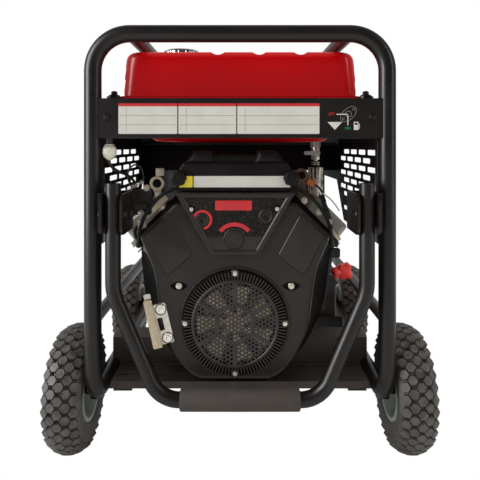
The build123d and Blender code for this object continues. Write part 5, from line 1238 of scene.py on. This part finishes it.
# seams round the silencer
silencer = {"u": (440, 610), "z": (440, 570), "radius": 50, "rise": 1.6, "wide": 6, "seams": [-177, 4, 181]}
rise = silencer["rise"]
(u0, u1), (z0, z1) = silencer["u"], silencer["z"]
outer = roundedPolygon(rectangle(u0 - rise, u1 + rise, z0 - rise, z1 + rise), silencer["radius"] + rise, 0, 10)
inner = roundedPolygon(rectangle(u0, u1, z0, z1), silencer["radius"], 0.6, 10)
for x0 in silencer["seams"]:
    x1 = x0 + silencer["wide"]
    steps = ((x0, inner), (x0, outer), (x1, outer), (x1, inner))
    addForm(closedLoft([[onFrame(x, z, u) for u, z in ring] for x, ring in steps]))
finishForm("silencerSeams", [heatedSteel], "muffler_steel")

# the battery's terminal covers and filler plugs
battery = {"post": 28, "plugX": 30, "plugEnd": 60, "plugY": 38,
           "plug": [(0, 15), (9, 15), (9, 11.6), (8, 10.6), (0, 10.6)]}
near, far = (corner * 1000 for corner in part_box("battery"))
for kind, y in enumerate((near.y + battery["post"], far.y - battery["post"])):
    x, u = far.x - battery["post"], y - frontY
    addForm(roundedBox(x - 15, x + 15, u - 14, u + 14, far.z - 11, far.z + 2, 3), kind)
for k in range(6):
    across = near.x + battery["plugX"] + (far.x - near.x - battery["plugX"] - battery["plugEnd"]) * (k % 2)
    along = near.y + battery["plugY"] + (far.y - near.y - 2 * battery["plugY"]) * (k // 2) / 2
    addForm(lathe([(r, far.z - drop) for r, drop in battery["plug"]], (across, along), "z", 24), 2)
finishForm("batteryClamps", [redVinyl, plainRubber, mouldedNylon], "mount_rubber", (), 38)
print("sides made")

# camera at the photograph's place, its lens and shift given for a square frame
photoLens = bpy.data.cameras.new("photoCamera")
photoLens.sensor_width = 36
photoLens.lens = 40.725
photoLens.shift_y = -0.196
photoLens.clip_end = 50
camera = addObject("photoCamera", photoLens)
camera.location = (0, -1.505, 0.642)
camera.rotation_euler = (math.pi / 2, 0, 0)
bpy.context.scene.camera = camera

# white to the camera, an even light to matt skin, and a dim room that brightens behind to glossy skin
world = bpy.data.worlds.new("studio")
world.use_nodes = True
bpy.context.scene.world = world
sky = world.node_tree
seen = addNode(sky, "ShaderNodeLightPath")
toward = addNode(sky, "ShaderNodeSeparateXYZ", {0: addNode(sky, "ShaderNodeTexCoord").outputs["Generated"]})
behind = addNode(sky, "ShaderNodeMapRange", {"Value": toward.outputs["Y"], "From Min": 0.0, "From Max": 0.7,
                                             "To Min": 0.06, "To Max": 0.6})
level = addNode(sky, "ShaderNodeMapRange", {"Value": seen.outputs["Is Glossy Ray"], "To Min": 0.86, "To Max": behind})
room = sky.nodes["Background"]
room.inputs["Color"].default_value = hexColour("ffffff")
sky.links.new(level.outputs[0], room.inputs["Strength"])
white = addNode(sky, "ShaderNodeBackground", {"Color": (1, 1, 1, 1), "Strength": 1.0})
chosen = addNode(sky, "ShaderNodeMixShader", {0: seen.outputs["Is Camera Ray"], 1: room, 2: white})
sky.links.new(chosen.outputs[0], sky.nodes["World Output"].inputs["Surface"])


def addLight(name, place, target, sizeX, sizeY, power):
    lamp = bpy.data.lights.new(name, "AREA")
    lamp.shape = "RECTANGLE"
    lamp.size, lamp.size_y, lamp.energy = sizeX, sizeY, power
    made = addObject(name, lamp)
    made.location = place
    made.rotation_euler = (Vector(target) - Vector(place)).to_track_quat("-Z", "Y").to_euler()
    return made


overhead = addLight("overhead", (0, -0.3, 2.6), (0, 0, 0.4), 2.2, 2.0, 26)
overhead.visible_glossy = False
for side, width, power in ((-1, 1.2, 125), (1, 0.4, 16)):
    strip = addLight("softStrip", (side * 2.3, -1.4, 1.2), (0, 0, 0.5), width, 2.2, power)
    strip.visible_diffuse = False

# pale floor; the camera sees it as the plain white of the sheet under it
floorMesh = bpy.data.meshes.new("studioFloor")
floorMesh.from_pydata([(-6, -6, 0), (6, -6, 0), (6, 6, 0), (-6, 6, 0)], [], [(0, 1, 2, 3)])
studioFloor = addObject("studioFloor", floorMesh)
floorPaint, floorTree, floorShader = newMaterial("whiteSheet")
floorShader.inputs["Base Color"].default_value = hexColour("f4f4f4")
floorShader.inputs["Roughness"].default_value = 0.9
rays = addNode(floorTree, "ShaderNodeLightPath")
glow = addNode(floorTree, "ShaderNodeEmission", {"Color": (1, 1, 1, 1), "Strength": 1.0})
sheetMix = addNode(floorTree, "ShaderNodeMixShader", {0: rays.outputs["Is Camera Ray"], 1: floorShader, 2: glow})
floorTree.links.new(sheetMix.outputs[0], floorTree.nodes["Material Output"].inputs["Surface"])
floorMesh.materials.append(floorPaint)
bpy.context.scene.view_settings.view_transform = "Standard"
